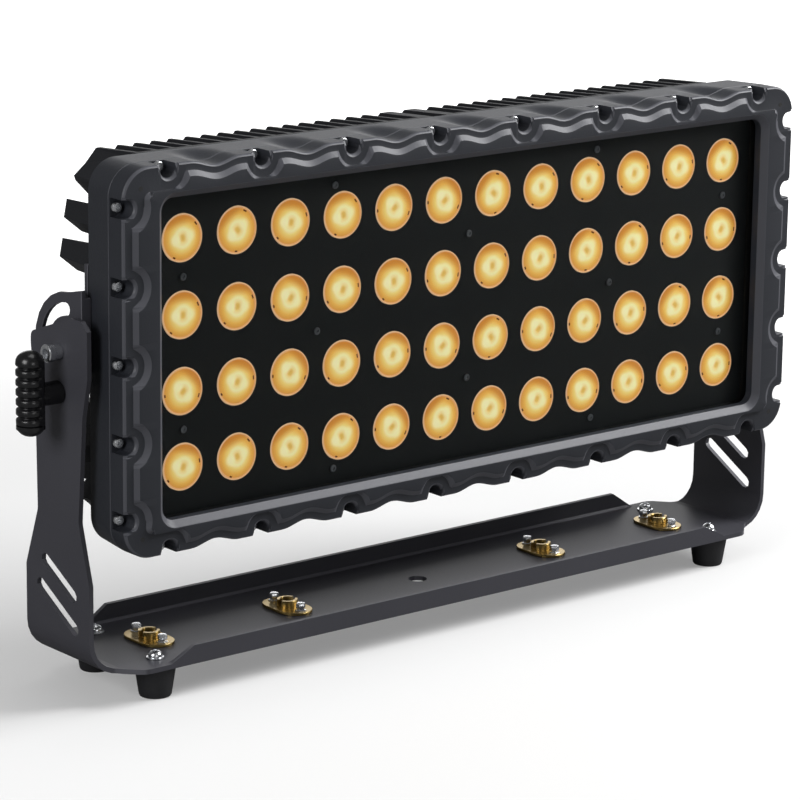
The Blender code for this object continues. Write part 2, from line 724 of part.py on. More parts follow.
def make_ring_plate(name, outer, inner, front_y, back_y, finish):
    bm = bmesh.new()
    rings = [ring(bm, at_y(outline, y)) for outline, y in (
        (outer, front_y), (outer, back_y), (inner, back_y), (inner, front_y))]
    for first, second in zip(rings, rings[1:] + rings[:1]):
        strip(bm, first, second)
    return add_piece(name, bm, finish)


def make_seals():
    corner = WINDOW_CORNER
    low = GASKET_INSET + GAP
    high = low + GASKET_WIDTH
    make_ring_plate("bezel_gasket",
                    head_box(CAVITY_X + high, CAVITY_Z + high, corner + high),
                    head_box(CAVITY_X + low, CAVITY_Z + low, corner + low),
                    HOUSING_FRONT_Y, HOUSING_FRONT_Y + GASKET_THICK, "rubber")
    edge = GLASS_LAP - SEAL_WIDTH
    seal_y = GLASS_BACK_Y + GAP
    make_ring_plate("glass_seal",
                    head_box(WINDOW_X + GLASS_LAP, WINDOW_Z + GLASS_LAP, corner + GLASS_LAP),
                    head_box(WINDOW_X + edge, WINDOW_Z + edge, corner + edge),
                    seal_y, seal_y + SEAL, "rubber")


def make_glass():
    bm = bmesh.new()
    outline = head_box(WINDOW_X + GLASS_LAP, WINDOW_Z + GLASS_LAP, WINDOW_CORNER + GLASS_LAP)
    prism(bm, outline, "Y", GLASS_FRONT_Y, GLASS_BACK_Y)
    return add_piece("front_glass", bm, "glass")


def lens_xs():
    return [-GRID_HALF_X + LENS_PITCH_X * k for k in range(LENS_COLUMNS)]


def lens_zs():
    return [HEAD_CENTRE + GRID_HALF_Z - LENS_PITCH_Z * k for k in range(LENS_ROWS)]


def make_face_plate():
    bm = bmesh.new()
    outline = head_box(WINDOW_X + GLASS_LAP, WINDOW_Z + GLASS_LAP, WINDOW_CORNER + GLASS_LAP)
    holes = [circle((x, z), LENS_RADIUS + GAP, LENS_SIDES) for z in lens_zs() for x in lens_xs()]
    front = [ring(bm, at_y(loop, FACE_FRONT_Y)) for loop in [outline] + holes]
    back = [ring(bm, at_y(loop, FACE_BACK_Y)) for loop in [outline] + holes]
    for first, second in zip(front, back):
        strip(bm, first, second)
    fill(bm, *front)
    fill(bm, *back)
    return add_piece("face_plate", bm, "face")


def make_lens_rows():
    half_x = GRID_HALF_X + LENS_RADIUS + LENS_WEB_BORDER
    half_z = LENS_RADIUS + LENS_WEB_BORDER
    web_back = WEB_FRONT_Y + LENS_WEB
    for index, z in enumerate(lens_zs()):
        bm = bmesh.new()
        outline = rounded_box(half_x, half_z, LENS_WEB_BORDER, 2, (0.0, z))
        edge_front = ring(bm, at_y(outline, WEB_FRONT_Y))
        edge_back = ring(bm, at_y(outline, web_back))
        strip(bm, edge_front, edge_back)
        roots = []
        stems = []
        for x in lens_xs():
            roots.append(ring(bm, at_y(circle((x, z), LENS_RADIUS, LENS_SIDES), WEB_FRONT_Y)))
            face = ring(bm, at_y(circle((x, z), LENS_RADIUS, LENS_SIDES), LENS_FRONT_Y))
            strip(bm, roots[-1], face)
            bm.faces.new(face)
            stems.append(ring(bm, at_y(circle((x, z), LENS_RADIUS - LENS_WEB, 8), web_back)))
            end = ring(bm, at_y(circle((x, z), LENS_STEM_RADIUS, 8), LED_FRONT_Y - GAP))
            strip(bm, stems[-1], end)
            bm.faces.new(end)
        fill(bm, edge_front, *roots)
        fill(bm, edge_back, *stems)
        add_piece("lens_row_%d" % (index + 1), bm, "lens")


def make_led_board():
    bm = bmesh.new()
    half_x = GRID_HALF_X + LED_PITCH_BORDER
    half_z = GRID_HALF_Z + LED_PITCH_BORDER
    outline = head_box(half_x, half_z, LED_PITCH_BORDER / 3, 3)
    prism(bm, outline, "Y", LED_FRONT_Y, LED_FRONT_Y + LED_BOARD)
    return add_piece("led_board", bm, "board")


def fin_outline(side):
    # Plan of one bank: a base plate with tapered fins, from the inner rib to the outer block.
    start = BANK_GAP / 2
    root_y = SINK_FRONT_Y + SINK_PLATE
    slack_y = SINK_BACK_Y - FIN_CHAMFER
    draft = (FIN_ROOT - FIN_TIP) / 2
    slack = draft * (1 - FIN_CHAMFER / FIN_DEPTH)
    block = SINK_SIDE - SINK_BLOCK
    points = [(start, SINK_FRONT_Y), (SINK_SIDE, SINK_FRONT_Y)]
    points += [(SINK_SIDE, slack_y), (SINK_SIDE, SINK_BACK_Y)]
    points += [(block + draft, SINK_BACK_Y), (block + slack, slack_y), (block, root_y)]
    first = start + BANK_BLOCK
    count = int((block - first) / FIN_PITCH)
    spread = (block - first) / (count + 1)
    half = FIN_ROOT / 2
    for k in range(count):
        x = block - spread * (k + 1)
        points += [(x + half, root_y), (x + half - slack, slack_y), (x + half - draft, SINK_BACK_Y)]
        points += [(x - half + draft, SINK_BACK_Y), (x - half + slack, slack_y), (x - half, root_y)]
    points += [(first, root_y), (first - slack, slack_y), (first - draft, SINK_BACK_Y)]
    points += [(start, SINK_BACK_Y), (start, slack_y)]
    return [(side * x, y) for x, y in points]


def prong_sections():
    # Sections through the side prongs above the head's centre: rear one, front one, rear one's Y.
    root = SINK_SIDE - SINK_BLOCK / 2
    sections = []
    for reach, top in zip(PRONG_REACHES, PRONG_TOPS):
        out = SINK_SIDE + reach
        low = top - PRONG_FACE
        rear = [(root, top - PRONG_TOP_FALL), (out - PRONG_LEAN, top), (out, low),
                (out - PRONG_FACET, low - PRONG_DROP), (root, low - PRONG_DROP)]
        front = [(x, z + (PRONG_DRAFT if z > low else -PRONG_DRAFT)) for x, z in rear]
        sections.append((rear, front, SINK_BACK_Y + PRONG_PROUD))
    out = SINK_SIDE + CORNER_REACH
    crest = SINK_Z - FIN_FALL - GAP
    ledge = SINK_SIDE + CORNER_SHOULDER_OUT
    rear = [(root, CORNER_TIP - CORNER_FALL), (out, CORNER_TIP),
            (out + PRONG_LEAN / 2, CORNER_TIP + CORNER_TIP_HEIGHT),
            (ledge, CORNER_SHOULDER), (SINK_SIDE - GAP, crest), (root, crest)]
    front = [(x + (PRONG_LEAN if x > SINK_SIDE else 0), z) for x, z in rear]
    sections.append((rear, front, SINK_BACK_Y - PRONG_PROUD))
    return sections


def make_heat_sink(name, side):
    bm = bmesh.new()
    outline = fin_outline(side)
    slack_y = SINK_BACK_Y - FIN_CHAMFER

    def height(y):
        fall = FIN_FALL * (y - SINK_FRONT_Y) / (SINK_BACK_Y - SINK_FRONT_Y)
        return SINK_Z - fall - max(0.0, y - slack_y)

    low = ring(bm, [(x, y, HEAD_CENTRE - height(y)) for x, y in outline])
    high = ring(bm, [(x, y, HEAD_CENTRE + height(y)) for x, y in outline])
    strip(bm, low, high)
    fill(bm, low)
    fill(bm, high)
    sink = add_piece(name, bm, "cast")
    prongs = bmesh.new()
    front_y = SINK_FRONT_Y + SINK_PLATE / 2
    for up in (1, -1):
        for rear, front, rear_y in prong_sections():
            ends = []
            for section, y in ((rear, rear_y), (front, front_y)):
                ends.append(ring(prongs, [(side * x, y, HEAD_CENTRE + up * z) for x, z in section]))
                prongs.faces.new(ends[-1])
            strip(prongs, ends[0], ends[1])
    return combine(sink, prongs, "UNION")


# The yoke and what is on it

def yoke_section():
    # The bent sheet seen from the front.
    middle = ARM_OUT - BEND_RADIUS
    top = PIVOT_Z + ARM_TOP_FRONT + ARM_CORNER
    inner_radius = BEND_RADIUS - SHEET
    centre_z = TRAY_UNDER + BEND_RADIUS
    outer = []
    inner = []
    for k in range(BEND_STEPS + 1):
        a = math.pi / 2 * k / BEND_STEPS
        outer.append((middle + BEND_RADIUS * math.sin(a), centre_z - BEND_RADIUS * math.cos(a)))
        inner.append((middle + inner_radius * math.sin(a), centre_z - inner_radius * math.cos(a)))
    right = outer + [(ARM_OUT, top), (ARM_IN, top)] + inner[::-1]
    left = [(-x, z) for x, z in right]
    return right + left[::-1]


def arm_outline():
    # The yoke seen from the side. Below the flare it leaves room for the tray's full depth.
    base = TRAY_UNDER
    beyond = TRAY_HALF_DEPTH + SHEET
    below = base - SHEET
    rise = ARM_WAIST_TOP - ARM_FLARE_TOP
    knees = (PIVOT_Y - ARM_KNEE_FRONT, PIVOT_Y + ARM_KNEE_BACK)
    edges = []
    for side, knee in zip((-1, 1), knees):
        flare = ARM_FLARE_Y + side * ARM_FLARE_HALF
        waist = ARM_WAIST_Y + side * ARM_WAIST_HALF
        foot = base + ARM_FLARE_TOP - rise * (beyond - abs(flare)) / (abs(flare) - abs(waist))
        edges.append([(side * beyond, below), (side * beyond, foot), (waist, base + ARM_WAIST_TOP),
                      (knee, base + ARM_KNEE)])
    front_y = PIVOT_Y - ARM_HEAD_FRONT
    front = edges[0] + [(front_y, PIVOT_Z + ARM_TOP_FRONT)]
    back = [(PIVOT_Y + ARM_HEAD_BACK, PIVOT_Z + ARM_TOP_BACK), (PIVOT_Y + ARM_HEAD_BACK, PIVOT_Z)]
    radii = [0, 0, ARM_CORNER, 0, ARM_TOP_CORNER, ARM_CORNER, 0, 0, ARM_CORNER, 0, 0]
    return round_corners(front + back + edges[1][::-1], radii, 3)


def tray_outline():
    # The yoke seen from above, narrowed at both ends to the width of the arms.
    wide = ARM_OUT - BEND_RADIUS - TRAY_SHOULDER
    neck = ARM_OUT - BEND_RADIUS + SHEET
    far = ARM_OUT + SHEET
    front = ARM_FLARE_Y - ARM_FLARE_HALF
    back = ARM_FLARE_Y + ARM_FLARE_HALF
    right = [(wide, -TRAY_HALF_DEPTH), (neck, front), (far, front), (far, back), (neck, back),
             (wide, TRAY_HALF_DEPTH)]
    left = [(-x, v) for x, v in right]
    radii = [TRAY_SHOULDER, TRAY_SHOULDER, 0, 0, TRAY_SHOULDER, TRAY_SHOULDER]
    return round_corners(right + left[::-1], radii + radii[::-1], 3)


def flange_section(side):
    # Section of one turned-up flange, with its foot inside the tray's sheet.
    out = TRAY_HALF_DEPTH
    foot = out - 3 * SHEET
    points = [(foot, TRAY_UNDER), (out - FLANGE_BEND, TRAY_UNDER)]
    points += [(out - FLANGE_BEND * (1 - math.sin(a)), TRAY_UNDER + FLANGE_BEND * (1 - math.cos(a)))
               for a in [math.pi / 2 * k / 3 for k in range(1, 4)]]
    top = TRAY_UNDER + (FRONT_FLANGE if side < 0 else BACK_FLANGE)
    points += [(out, top), (out - SHEET, top)]
    points += [(out - SHEET, TRAY_TOP + SHEET / 2), (out - 1.5 * SHEET, TRAY_TOP), (foot, TRAY_TOP)]
    return [(side * y, z) for y, z in points]


def flange_tool():
    bm = bmesh.new()
    low = ARM_OUT - FLANGE_END_LOW
    high = ARM_OUT - FLANGE_END_HIGH
    for side in (-1, 1):
        section = flange_section(side)
        height = (FRONT_FLANGE if side < 0 else BACK_FLANGE) - SHEET
        ends = []
        for direction in (-1, 1):
            reach = [low - (low - high) * max(0.0, z - TRAY_TOP) / height for y, z in section]
            ends.append(ring(bm, [(direction * x, y, z) for x, (y, z) in zip(reach, section)]))
            fill(bm, ends[-1])
        strip(bm, ends[0], ends[1])
    return bm


def yoke_hole_tool():
    bm = bmesh.new()
    beyond = ARM_OUT + SHEET
    rod(bm, "X", (PIVOT_Y, PIVOT_Z), -beyond, beyond, PIVOT_SHANK + RUN)
    rod(bm, "X", (PIVOT_Y, CLAMP_Z), -beyond, beyond, CLAMP_STUD + RUN)
    for y, height, length in ARM_SLOTS:
        outline = slot_outline((y, TRAY_UNDER + height), length, SLOT_WIDTH, SLOT_TILT)
        prism(bm, outline, "X", -beyond, beyond)
    below = TRAY_UNDER - SHEET
    above = TRAY_TOP + SHEET
    rod(bm, "Z", (0.0, 0.0), below, above, CENTRE_HOLE, ROUND)
    for spot in LOCK_SPOTS:
        rod(bm, "Z", (spot * LOCK_PITCH, 0.0), below, above, TRAY_LOCK_HOLE, ROUND)
    for x, y in foot_places():
        rod(bm, "Z", (x, y), below, above, FOOT_SCREW + RUN, 8)
    return bm


def make_yoke():
    bm = bmesh.new()
    prism(bm, yoke_section(), "Y", -TRAY_HALF_DEPTH - SHEET, TRAY_HALF_DEPTH + SHEET)
    yoke = add_piece("yoke", bm, "coat")
    side = bmesh.new()
    prism(side, arm_outline(), "X", -ARM_OUT - SHEET, ARM_OUT + SHEET)
    combine(yoke, side, "INTERSECT")
    plan = bmesh.new()
    prism(plan, tray_outline(), "Z", TRAY_UNDER - SHEET, PIVOT_Z + 2 * QUADRANT_RADIUS)
    combine(yoke, plan, "INTERSECT")
    combine(yoke, flange_tool(), "UNION")
    return combine(yoke, yoke_hole_tool(), "DIFFERENCE")


def foot_places():
    return [(x, y) for x in (-FOOT_X, FOOT_X) for y in (-FOOT_Y, FOOT_Y)]


FOOT_NAMES = ("left_front", "left_back", "right_front", "right_back")


def make_feet():
    bore = FOOT_SCREW + GAP
    bore_end = TRAY_TOP - FOOT_SCREW_LENGTH - GAP
    for name, (x, y) in zip(FOOT_NAMES, foot_places()):
        bm = bmesh.new()
        profile = [(0, 0), (FOOT_BOTTOM - FOOT_CHAMFER, 0), (FOOT_BOTTOM, FOOT_CHAMFER),
                   (FOOT_TOP, FOOT_HEIGHT), (bore, FOOT_HEIGHT), (bore, bore_end), (0, bore_end)]
        turned(bm, profile, "Z", (x, y), ROUND)
        add_piece("foot_" + name, bm, "rubber")
        bm = bmesh.new()
        seat = TRAY_TOP + GAP
        profile = [(0, TRAY_TOP - FOOT_SCREW_LENGTH), (FOOT_SCREW, TRAY_TOP - FOOT_SCREW_LENGTH),
                   (FOOT_SCREW, seat), (FOOT_SCREW_HEAD, seat), (FOOT_SCREW_HEAD, seat + FOOT_SCREW_RIM),
                   (FOOT_SCREW_BEND, seat + FOOT_SCREW_SHOULDER), (0, seat + FOOT_SCREW_DOME)]
        turned(bm, profile, "Z", (x, y), 8)
        add_piece("foot_screw_" + name, bm, "steel")


def make_locks():
    seat = TRAY_TOP + GAP
    for index, spot in enumerate(LOCK_SPOTS):
        centre = (spot * LOCK_PITCH, 0.0)
        bm = bmesh.new()
        prism(bm, slot_outline(centre, LOCK_LENGTH, LOCK_WIDTH, 90.0, 5), "Z", seat, seat + LOCK_PLATE)
        lock = add_piece("cam_lock_%d" % (index + 1), bm, "brass")
        ring_bm = bmesh.new()
        rod(ring_bm, "Z", centre, seat + LOCK_PLATE / 2, seat + LOCK_RING_HEIGHT, LOCK_RING, ROUND)
        for side in (-1, 1):
            spot_y = side * LOCK_SCREW_PITCH / 2
            top = seat + LOCK_SCREW_HEIGHT
            rod(ring_bm, "Z", (centre[0], spot_y), seat + LOCK_PLATE / 2, top, LOCK_SCREW, 8)
        combine(lock, ring_bm, "UNION")
        bore_bm = bmesh.new()
        rod(bore_bm, "Z", centre, seat - LOCK_PLATE, seat + 2 * LOCK_RING_HEIGHT, LOCK_BORE, SMALL_ROUND)
        combine(lock, bore_bm, "DIFFERENCE")


def make_pivot(name, side):
    bm = bmesh.new()
    face = ARM_OUT + GAP
    sleeve_end = face + PIVOT_SLEEVE_LENGTH
    head_end = sleeve_end + PIVOT_HEAD_LENGTH
    end = QUADRANT_IN - GAP - PIVOT_NUT_LENGTH - GAP
    socket = head_end - PIVOT_HEAD_LENGTH / 2
    profile = [(0, end), (PIVOT_SHANK, end), (PIVOT_SHANK, face), (PIVOT_SLEEVE, face),
               (PIVOT_SLEEVE, sleeve_end), (PIVOT_HEAD, sleeve_end), (PIVOT_HEAD, head_end),
               (PIVOT_SOCKET, head_end), (PIVOT_SOCKET, socket), (0, socket)]
    turned(bm, [(r, side * x) for r, x in profile], "X", (PIVOT_Y, PIVOT_Z), SMALL_ROUND)
    add_piece("pivot_bolt_" + name, bm, "steel")
    bm = bmesh.new()
    inner = QUADRANT_OUT + GAP
    tube(bm, "X", (PIVOT_Y, PIVOT_Z), side * inner, side * (ARM_IN - GAP), PIVOT_SHANK + GAP, WASHER_RADIUS)
    add_piece("pivot_washer_" + name, bm, "plastic")
    bm = bmesh.new()
    near = QUADRANT_IN - GAP
    nut(bm, (PIVOT_Y, PIVOT_Z), side * (near - PIVOT_NUT_LENGTH), side * near, PIVOT_SHANK + RUN, PIVOT_NUT)
    add_piece("pivot_nut_" + name, bm, "steel")


def handle_profile():
    # Half of the grip bar's outline, from its lower pole to its upper pole.
    half = HANDLE_LENGTH / 2
    groove = HANDLE_GROOVE_WIDTH / 2
    profile = [(0, -half)]
    profile += [(HANDLE_BAR * math.sin(a), -half + HANDLE_END * (1 - math.cos(a)))
                for a in (math.radians(35), math.radians(65), math.radians(90))]
    for k in range(HANDLE_RIBS):
        middle = (k - (HANDLE_RIBS - 1) / 2) * HANDLE_RIB_PITCH
        profile += [(HANDLE_BAR, middle - groove), (HANDLE_BAR - HANDLE_GROOVE, middle)]
        profile += [(HANDLE_BAR, middle + groove)]
    profile += [(HANDLE_BAR * math.sin(a), half - HANDLE_END * (1 - math.cos(a)))
                for a in (math.radians(90), math.radians(65), math.radians(35))]
    return profile + [(0, half)]


def make_handle(name, side):
    axis = (0.0, PIVOT_Y, CLAMP_Z)
    centre_x = side * (ARM_OUT + HANDLE_STANDOFF)
    bm = bmesh.new()
    middle = CLAMP_Z + HANDLE_RISE
    turned(bm, [(r, middle + z) for r, z in handle_profile()], "Z", (centre_x, PIVOT_Y), HANDLE_SIDES)
    handle = add_piece("t_handle_" + name, bm, "plastic", axis)
    shaft = bmesh.new()
    rod(shaft, "X", (PIVOT_Y, CLAMP_Z), side * (ARM_OUT + GAP), centre_x, HANDLE_SHAFT, SMALL_ROUND)
    combine(handle, shaft, "UNION")
    bore = bmesh.new()
    stud_end = ARM_OUT + HANDLE_STANDOFF - HANDLE_BAR
    rod(bore, "X", (PIVOT_Y, CLAMP_Z), side * (ARM_OUT - SHEET), side * (stud_end + GAP), CLAMP_STUD + GAP, 8)
    combine(handle, bore, "DIFFERENCE")
    bm = bmesh.new()
    inner = QUADRANT_IN - GAP - CLAMP_NUT_LENGTH
    rod(bm, "X", (PIVOT_Y, CLAMP_Z), side * inner, side * stud_end, CLAMP_STUD, 8)
    add_piece("clamp_stud_" + name, bm, "steel", axis)
    bm = bmesh.new()
    near = QUADRANT_IN - GAP
    nut(bm, (PIVOT_Y, CLAMP_Z), side * inner, side * near, CLAMP_STUD + RUN, CLAMP_NUT)
    add_piece("clamp_nut_" + name, bm, "steel")


def quadrant_outline():
    # A disc about the pivot, squared off in front where it meets its fixing pad.
    front = PIVOT_Y - QUADRANT_FRONT
    points = [(front, PIVOT_Z - QUADRANT_RADIUS), (PIVOT_Y, PIVOT_Z - QUADRANT_RADIUS)]
    for k in range(1, 12):
        a = math.radians(180 - 15 * k)
        points.append((PIVOT_Y + QUADRANT_RADIUS * math.sin(a), PIVOT_Z + QUADRANT_RADIUS * math.cos(a)))
    points += [(PIVOT_Y, PIVOT_Z + QUADRANT_RADIUS), (front, PIVOT_Z + QUADRANT_RADIUS + QUADRANT_RISE)]
    return points


def housing_side(y):
    return HEAD_X - HOUSING_TAPER_X * (y - HOUSING_FRONT_Y) / HOUSING_DEPTH + GAP


def arc_slot_outline():
    # Round-ended arc slot about the pivot. Angles run from straight up towards the back.
    half = CLAMP_STUD + RUN
    slack = math.degrees(TRAVEL_GAP / CLAMP_RADIUS)
    low = math.radians(180.0 - TILT_BACK - slack)
    high = math.radians(180.0 + TILT_DOWN + slack)
    outer = [polar(CLAMP_RADIUS + half, low + (high - low) * k / ARC_STEPS) for k in range(ARC_STEPS + 1)]
    inner = [polar(CLAMP_RADIUS - half, high + (low - high) * k / ARC_STEPS) for k in range(ARC_STEPS + 1)]
    return outer + slot_end(high, half, 0.0) + inner + slot_end(low, half, math.pi)


def polar(radius, a):
    return (PIVOT_Y + radius * math.sin(a), PIVOT_Z + radius * math.cos(a))


def slot_end(a, half, turn):
    y, z = polar(CLAMP_RADIUS, a)
    steps = [a + turn + math.pi * k / END_STEPS for k in range(1, END_STEPS)]
    return [(y + half * math.sin(b), z + half * math.cos(b)) for b in steps]


def make_quadrant(name, side):
    bm = bmesh.new()
    prism(bm, quadrant_outline(), "X", side * QUADRANT_IN, side * QUADRANT_OUT)
    quadrant = add_piece("quadrant_" + name, bm, "coat")
    front = PIVOT_Y - QUADRANT_FRONT
    back = PIVOT_Y - PAD_BACK
    rear = HOUSING_BACK_Y + GAP
    out = QUADRANT_IN + QUADRANT_SHEET / 2
    edge = housing_side(HOUSING_BACK_Y)
    joint = [(housing_side(front), front), (out, front), (out, back), (edge - PAD_REACH, back),
             (edge - PAD_REACH, rear), (edge, rear)]
    behind = [(edge - PAD_REACH, rear), (edge, rear), (edge, back), (edge - PAD_REACH, back)]
    for plan, top in ((joint, PAD_HIGH), (behind, PAD_TOP)):
        pad = bmesh.new()
        prism(pad, [(side * x, y) for x, y in plan], "Z", PIVOT_Z - PAD_LOW, PIVOT_Z + top)
        combine(quadrant, pad, "UNION")
    holes = bmesh.new()
    near = side * (QUADRANT_IN - GAP)
    far = side * (QUADRANT_OUT + GAP)
    rod(holes, "X", (PIVOT_Y, PIVOT_Z), near, far, PIVOT_SHANK + RUN)
    prism(holes, arc_slot_outline(), "X", near, far)
    return combine(quadrant, holes, "DIFFERENCE")


# The driver box and what it holds

def box_outline(half_x, half_z, radius, steps=3):
    return rounded_box(half_x, half_z, radius, steps, (0.0, HEAD_CENTRE))


def make_driver_box():
    bm = bmesh.new()
    outer = box_outline(BOX_HALF_WIDTH, BOX_HALF_HEIGHT, BOX_CORNER)
    inner = box_outline(BOX_HALF_WIDTH - BOX_WALL, BOX_HALF_HEIGHT - BOX_WALL, BOX_CORNER - BOX_WALL)
    floor_y = BOX_FRONT_Y + BOX_WALL
    rings = [ring(bm, at_y(outline, y)) for outline, y in (
        (outer, BOX_FRONT_Y), (outer, BOX_RIM_Y), (inner, BOX_RIM_Y), (inner, floor_y))]
    for first, second in zip(rings, rings[1:]):
        strip(bm, first, second)
    bm.faces.new(rings[0])
    bm.faces.new(rings[-1])
    add_piece("driver_box", bm, "cast")


def display_outline(grow):
    centre = (PANEL_X, HEAD_CENTRE + DISPLAY_RISE)
    return rounded_box(DISPLAY_WIDTH / 2 + grow, DISPLAY_HEIGHT / 2 + grow, DISPLAY_CORNER + grow, 2, centre)


def button_places():
    first = PANEL_X - (BUTTON_COUNT - 1) / 2 * BUTTON_PITCH
    return [(first + BUTTON_PITCH * k, HEAD_CENTRE - BUTTON_DROP) for k in range(BUTTON_COUNT)]


def board_corners():
    half_x = BOARD_WIDTH / 2 - BOARD_POST_INSET
    half_z = BOARD_HEIGHT / 2 - BOARD_POST_INSET
    return [(PANEL_X + a * half_x, HEAD_CENTRE + b * half_z) for a in (-1, 1) for b in (-1, 1)]


def make_cover():
    bm = bmesh.new()
    outline = box_outline(BOX_HALF_WIDTH, BOX_HALF_HEIGHT, BOX_CORNER)
    window = display_outline(GAP)
    holes = [circle(spot, BUTTON_RADIUS + RUN, SMALL_ROUND) for spot in button_places()]
    back = [ring(bm, at_y(loop, COVER_IN_Y)) for loop in [outline, window] + holes]
    front = [ring(bm, at_y(loop, COVER_OUT_Y)) for loop in [outline, window] + holes]
    for first, second in zip(back, front):
        strip(bm, first, second)
    posts = [ring(bm, at_y(circle(spot, BOARD_POST_RADIUS, 8), COVER_IN_Y)) for spot in board_corners()]
    for post, spot in zip(posts, board_corners()):
        end = ring(bm, at_y(circle(spot, BOARD_POST_RADIUS, 8), COVER_IN_Y - BOARD_POST))
        strip(bm, post, end)
        bm.faces.new(end)
    fill(bm, *back, *posts)
    fill(bm, *front)
    add_piece("driver_cover", bm, "cast")


def make_driver_inside():
    bm = bmesh.new()
    floor_y = BOX_FRONT_Y + BOX_WALL + GAP
    low = HEAD_CENTRE - SUPPLY_HEIGHT / 2
    high = HEAD_CENTRE + SUPPLY_HEIGHT / 2
    corners = [(SUPPLY_LEFT, low), (SUPPLY_RIGHT, low), (SUPPLY_RIGHT, high), (SUPPLY_LEFT, high)]
    prism(bm, corners, "Y", floor_y, floor_y + SUPPLY_DEPTH)
    add_piece("power_supply", bm, "steel")
    bm = bmesh.new()
    outline = rounded_box(BOARD_WIDTH / 2, BOARD_HEIGHT / 2, BOARD_CORNER, 2, (PANEL_X, HEAD_CENTRE))
    back = COVER_IN_Y - BOARD_POST - GAP
    prism(bm, outline, "Y", back - BOARD_THICK, back)
    add_piece("control_board", bm, "board")
    bm = bmesh.new()
    prism(bm, display_outline(0), "Y", COVER_OUT_Y - GAP - DISPLAY_THICK, COVER_OUT_Y - GAP)
    add_piece("display_window", bm, "glass")


def make_buttons():
    inner = COVER_IN_Y - GAP - BUTTON_FLANGE
    wide = BUTTON_RADIUS + BUTTON_FLANGE_LAP
    for index, (x, z) in enumerate(button_places()):
        bm = bmesh.new()
        step = inner + BUTTON_FLANGE
        face = COVER_OUT_Y + BUTTON_PROUD
        profile = [(0, inner), (wide, inner), (wide, step)]
        profile += [(BUTTON_RADIUS, step), (BUTTON_RADIUS, face), (0, face)]
        turned(bm, profile, "Y", (x, z), SMALL_ROUND)
        add_piece("button_%d" % (index + 1), bm, "plastic", (x, COVER_OUT_Y, z))


SOCKET_NAMES = ("power_in", "power_out", "data_in", "data_out")


def make_sockets():
    y = BOX_FRONT_Y + BOX_DEPTH / 2
    top = HEAD_CENTRE - BOX_HALF_HEIGHT - GAP
    flange_low = top - SOCKET_FLANGE_THICK
    mouth = top - SOCKET_LENGTH
    for index, name in enumerate(SOCKET_NAMES):
        x = (index - (len(SOCKET_NAMES) - 1) / 2) * SOCKET_PITCH
        bm = bmesh.new()
        flange = rounded_box(SOCKET_FLANGE, SOCKET_FLANGE, SOCKET_CORNER, 2, (x, y))
        upper = ring(bm, [(u, v, top) for u, v in flange])
        lower = ring(bm, [(u, v, flange_low) for u, v in flange])
        strip(bm, upper, lower)
        bm.faces.new(upper)
        loops = []
        for radius, z in ((SOCKET_BARREL, flange_low), (SOCKET_BARREL, mouth), (SOCKET_BORE, mouth),
                          (SOCKET_BORE, mouth + SOCKET_BORE_DEPTH)):
            loops.append(ring(bm, [(u, v, z) for u, v in circle((x, y), radius, SMALL_ROUND)]))
        for first, second in zip(loops, loops[1:]):
            strip(bm, first, second)
        bm.faces.new(loops[-1])
        fill(bm, lower, loops[0])
        add_piece("socket_" + name, bm, "plastic")


def make_fittings():
    bm = bmesh.new()
    y = BOX_FRONT_Y + BOX_DEPTH / 2
    start = BOX_HALF_WIDTH + GAP
    profile = [(0, start), (VENT_RADIUS, start), (VENT_RADIUS, start + VENT_RIM),
               (VENT_CROWN, start + VENT_LENGTH), (0, start + VENT_LENGTH)]
    turned(bm, profile, "X", (y, HEAD_CENTRE), SMALL_ROUND)
    add_piece("vent_plug", bm, "plastic")
    bm = bmesh.new()
    foot = HEAD_CENTRE + BOX_HALF_HEIGHT + GAP
    stem_low = foot + EYE_FOOT_THICK
    stem_high = foot + EYE_STEM
    profile = [(0, foot), (EYE_FOOT, foot), (EYE_FOOT, stem_low), (EYE_STEM_RADIUS, stem_low),
               (EYE_STEM_RADIUS, stem_high), (0, stem_high)]
    turned(bm, profile, "Z", (0.0, y), SMALL_ROUND)
    eye = add_piece("safety_eye", bm, "steel")
    loop = bmesh.new()
    centre = foot + EYE_STEM + EYE_RING - EYE_WIRE / 2
    sections = []
    for k in range(ROUND):
        a = 2 * math.pi * k / ROUND
        around = []
        for m in range(8):
            b = 2 * math.pi * m / 8
            radius = EYE_RING + EYE_WIRE * math.cos(b)
            around.append((radius * math.sin(a), y + EYE_WIRE * math.sin(b), centre - radius * math.cos(a)))
        sections.append(ring(loop, around))
    for k in range(ROUND):
        strip(loop, sections[k], sections[(k + 1) % ROUND])
    combine(eye, loop, "UNION")


def build():
    clear_scene()
    make_yoke()
    make_feet()
    make_locks()
    make_bezel()
    make_housing()
    make_seals()
    make_glass()
    make_face_plate()
    make_lens_rows()
    make_led_board()
    for name, side in (("left", -1), ("right", 1)):
        make_heat_sink("heat_sink_" + name, side)
        make_pivot(name, side)
        make_handle(name, side)
        make_quadrant(name, side)
    make_driver_box()
    make_cover()
    make_driver_inside()
    make_buttons()
    make_sockets()
    make_fittings()


build()
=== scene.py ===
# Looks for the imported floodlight. Metres, +Z up, the lenses face -Y, the floor is z = 0.
import math

import bmesh
import bpy
from mathutils import Matrix, Vector


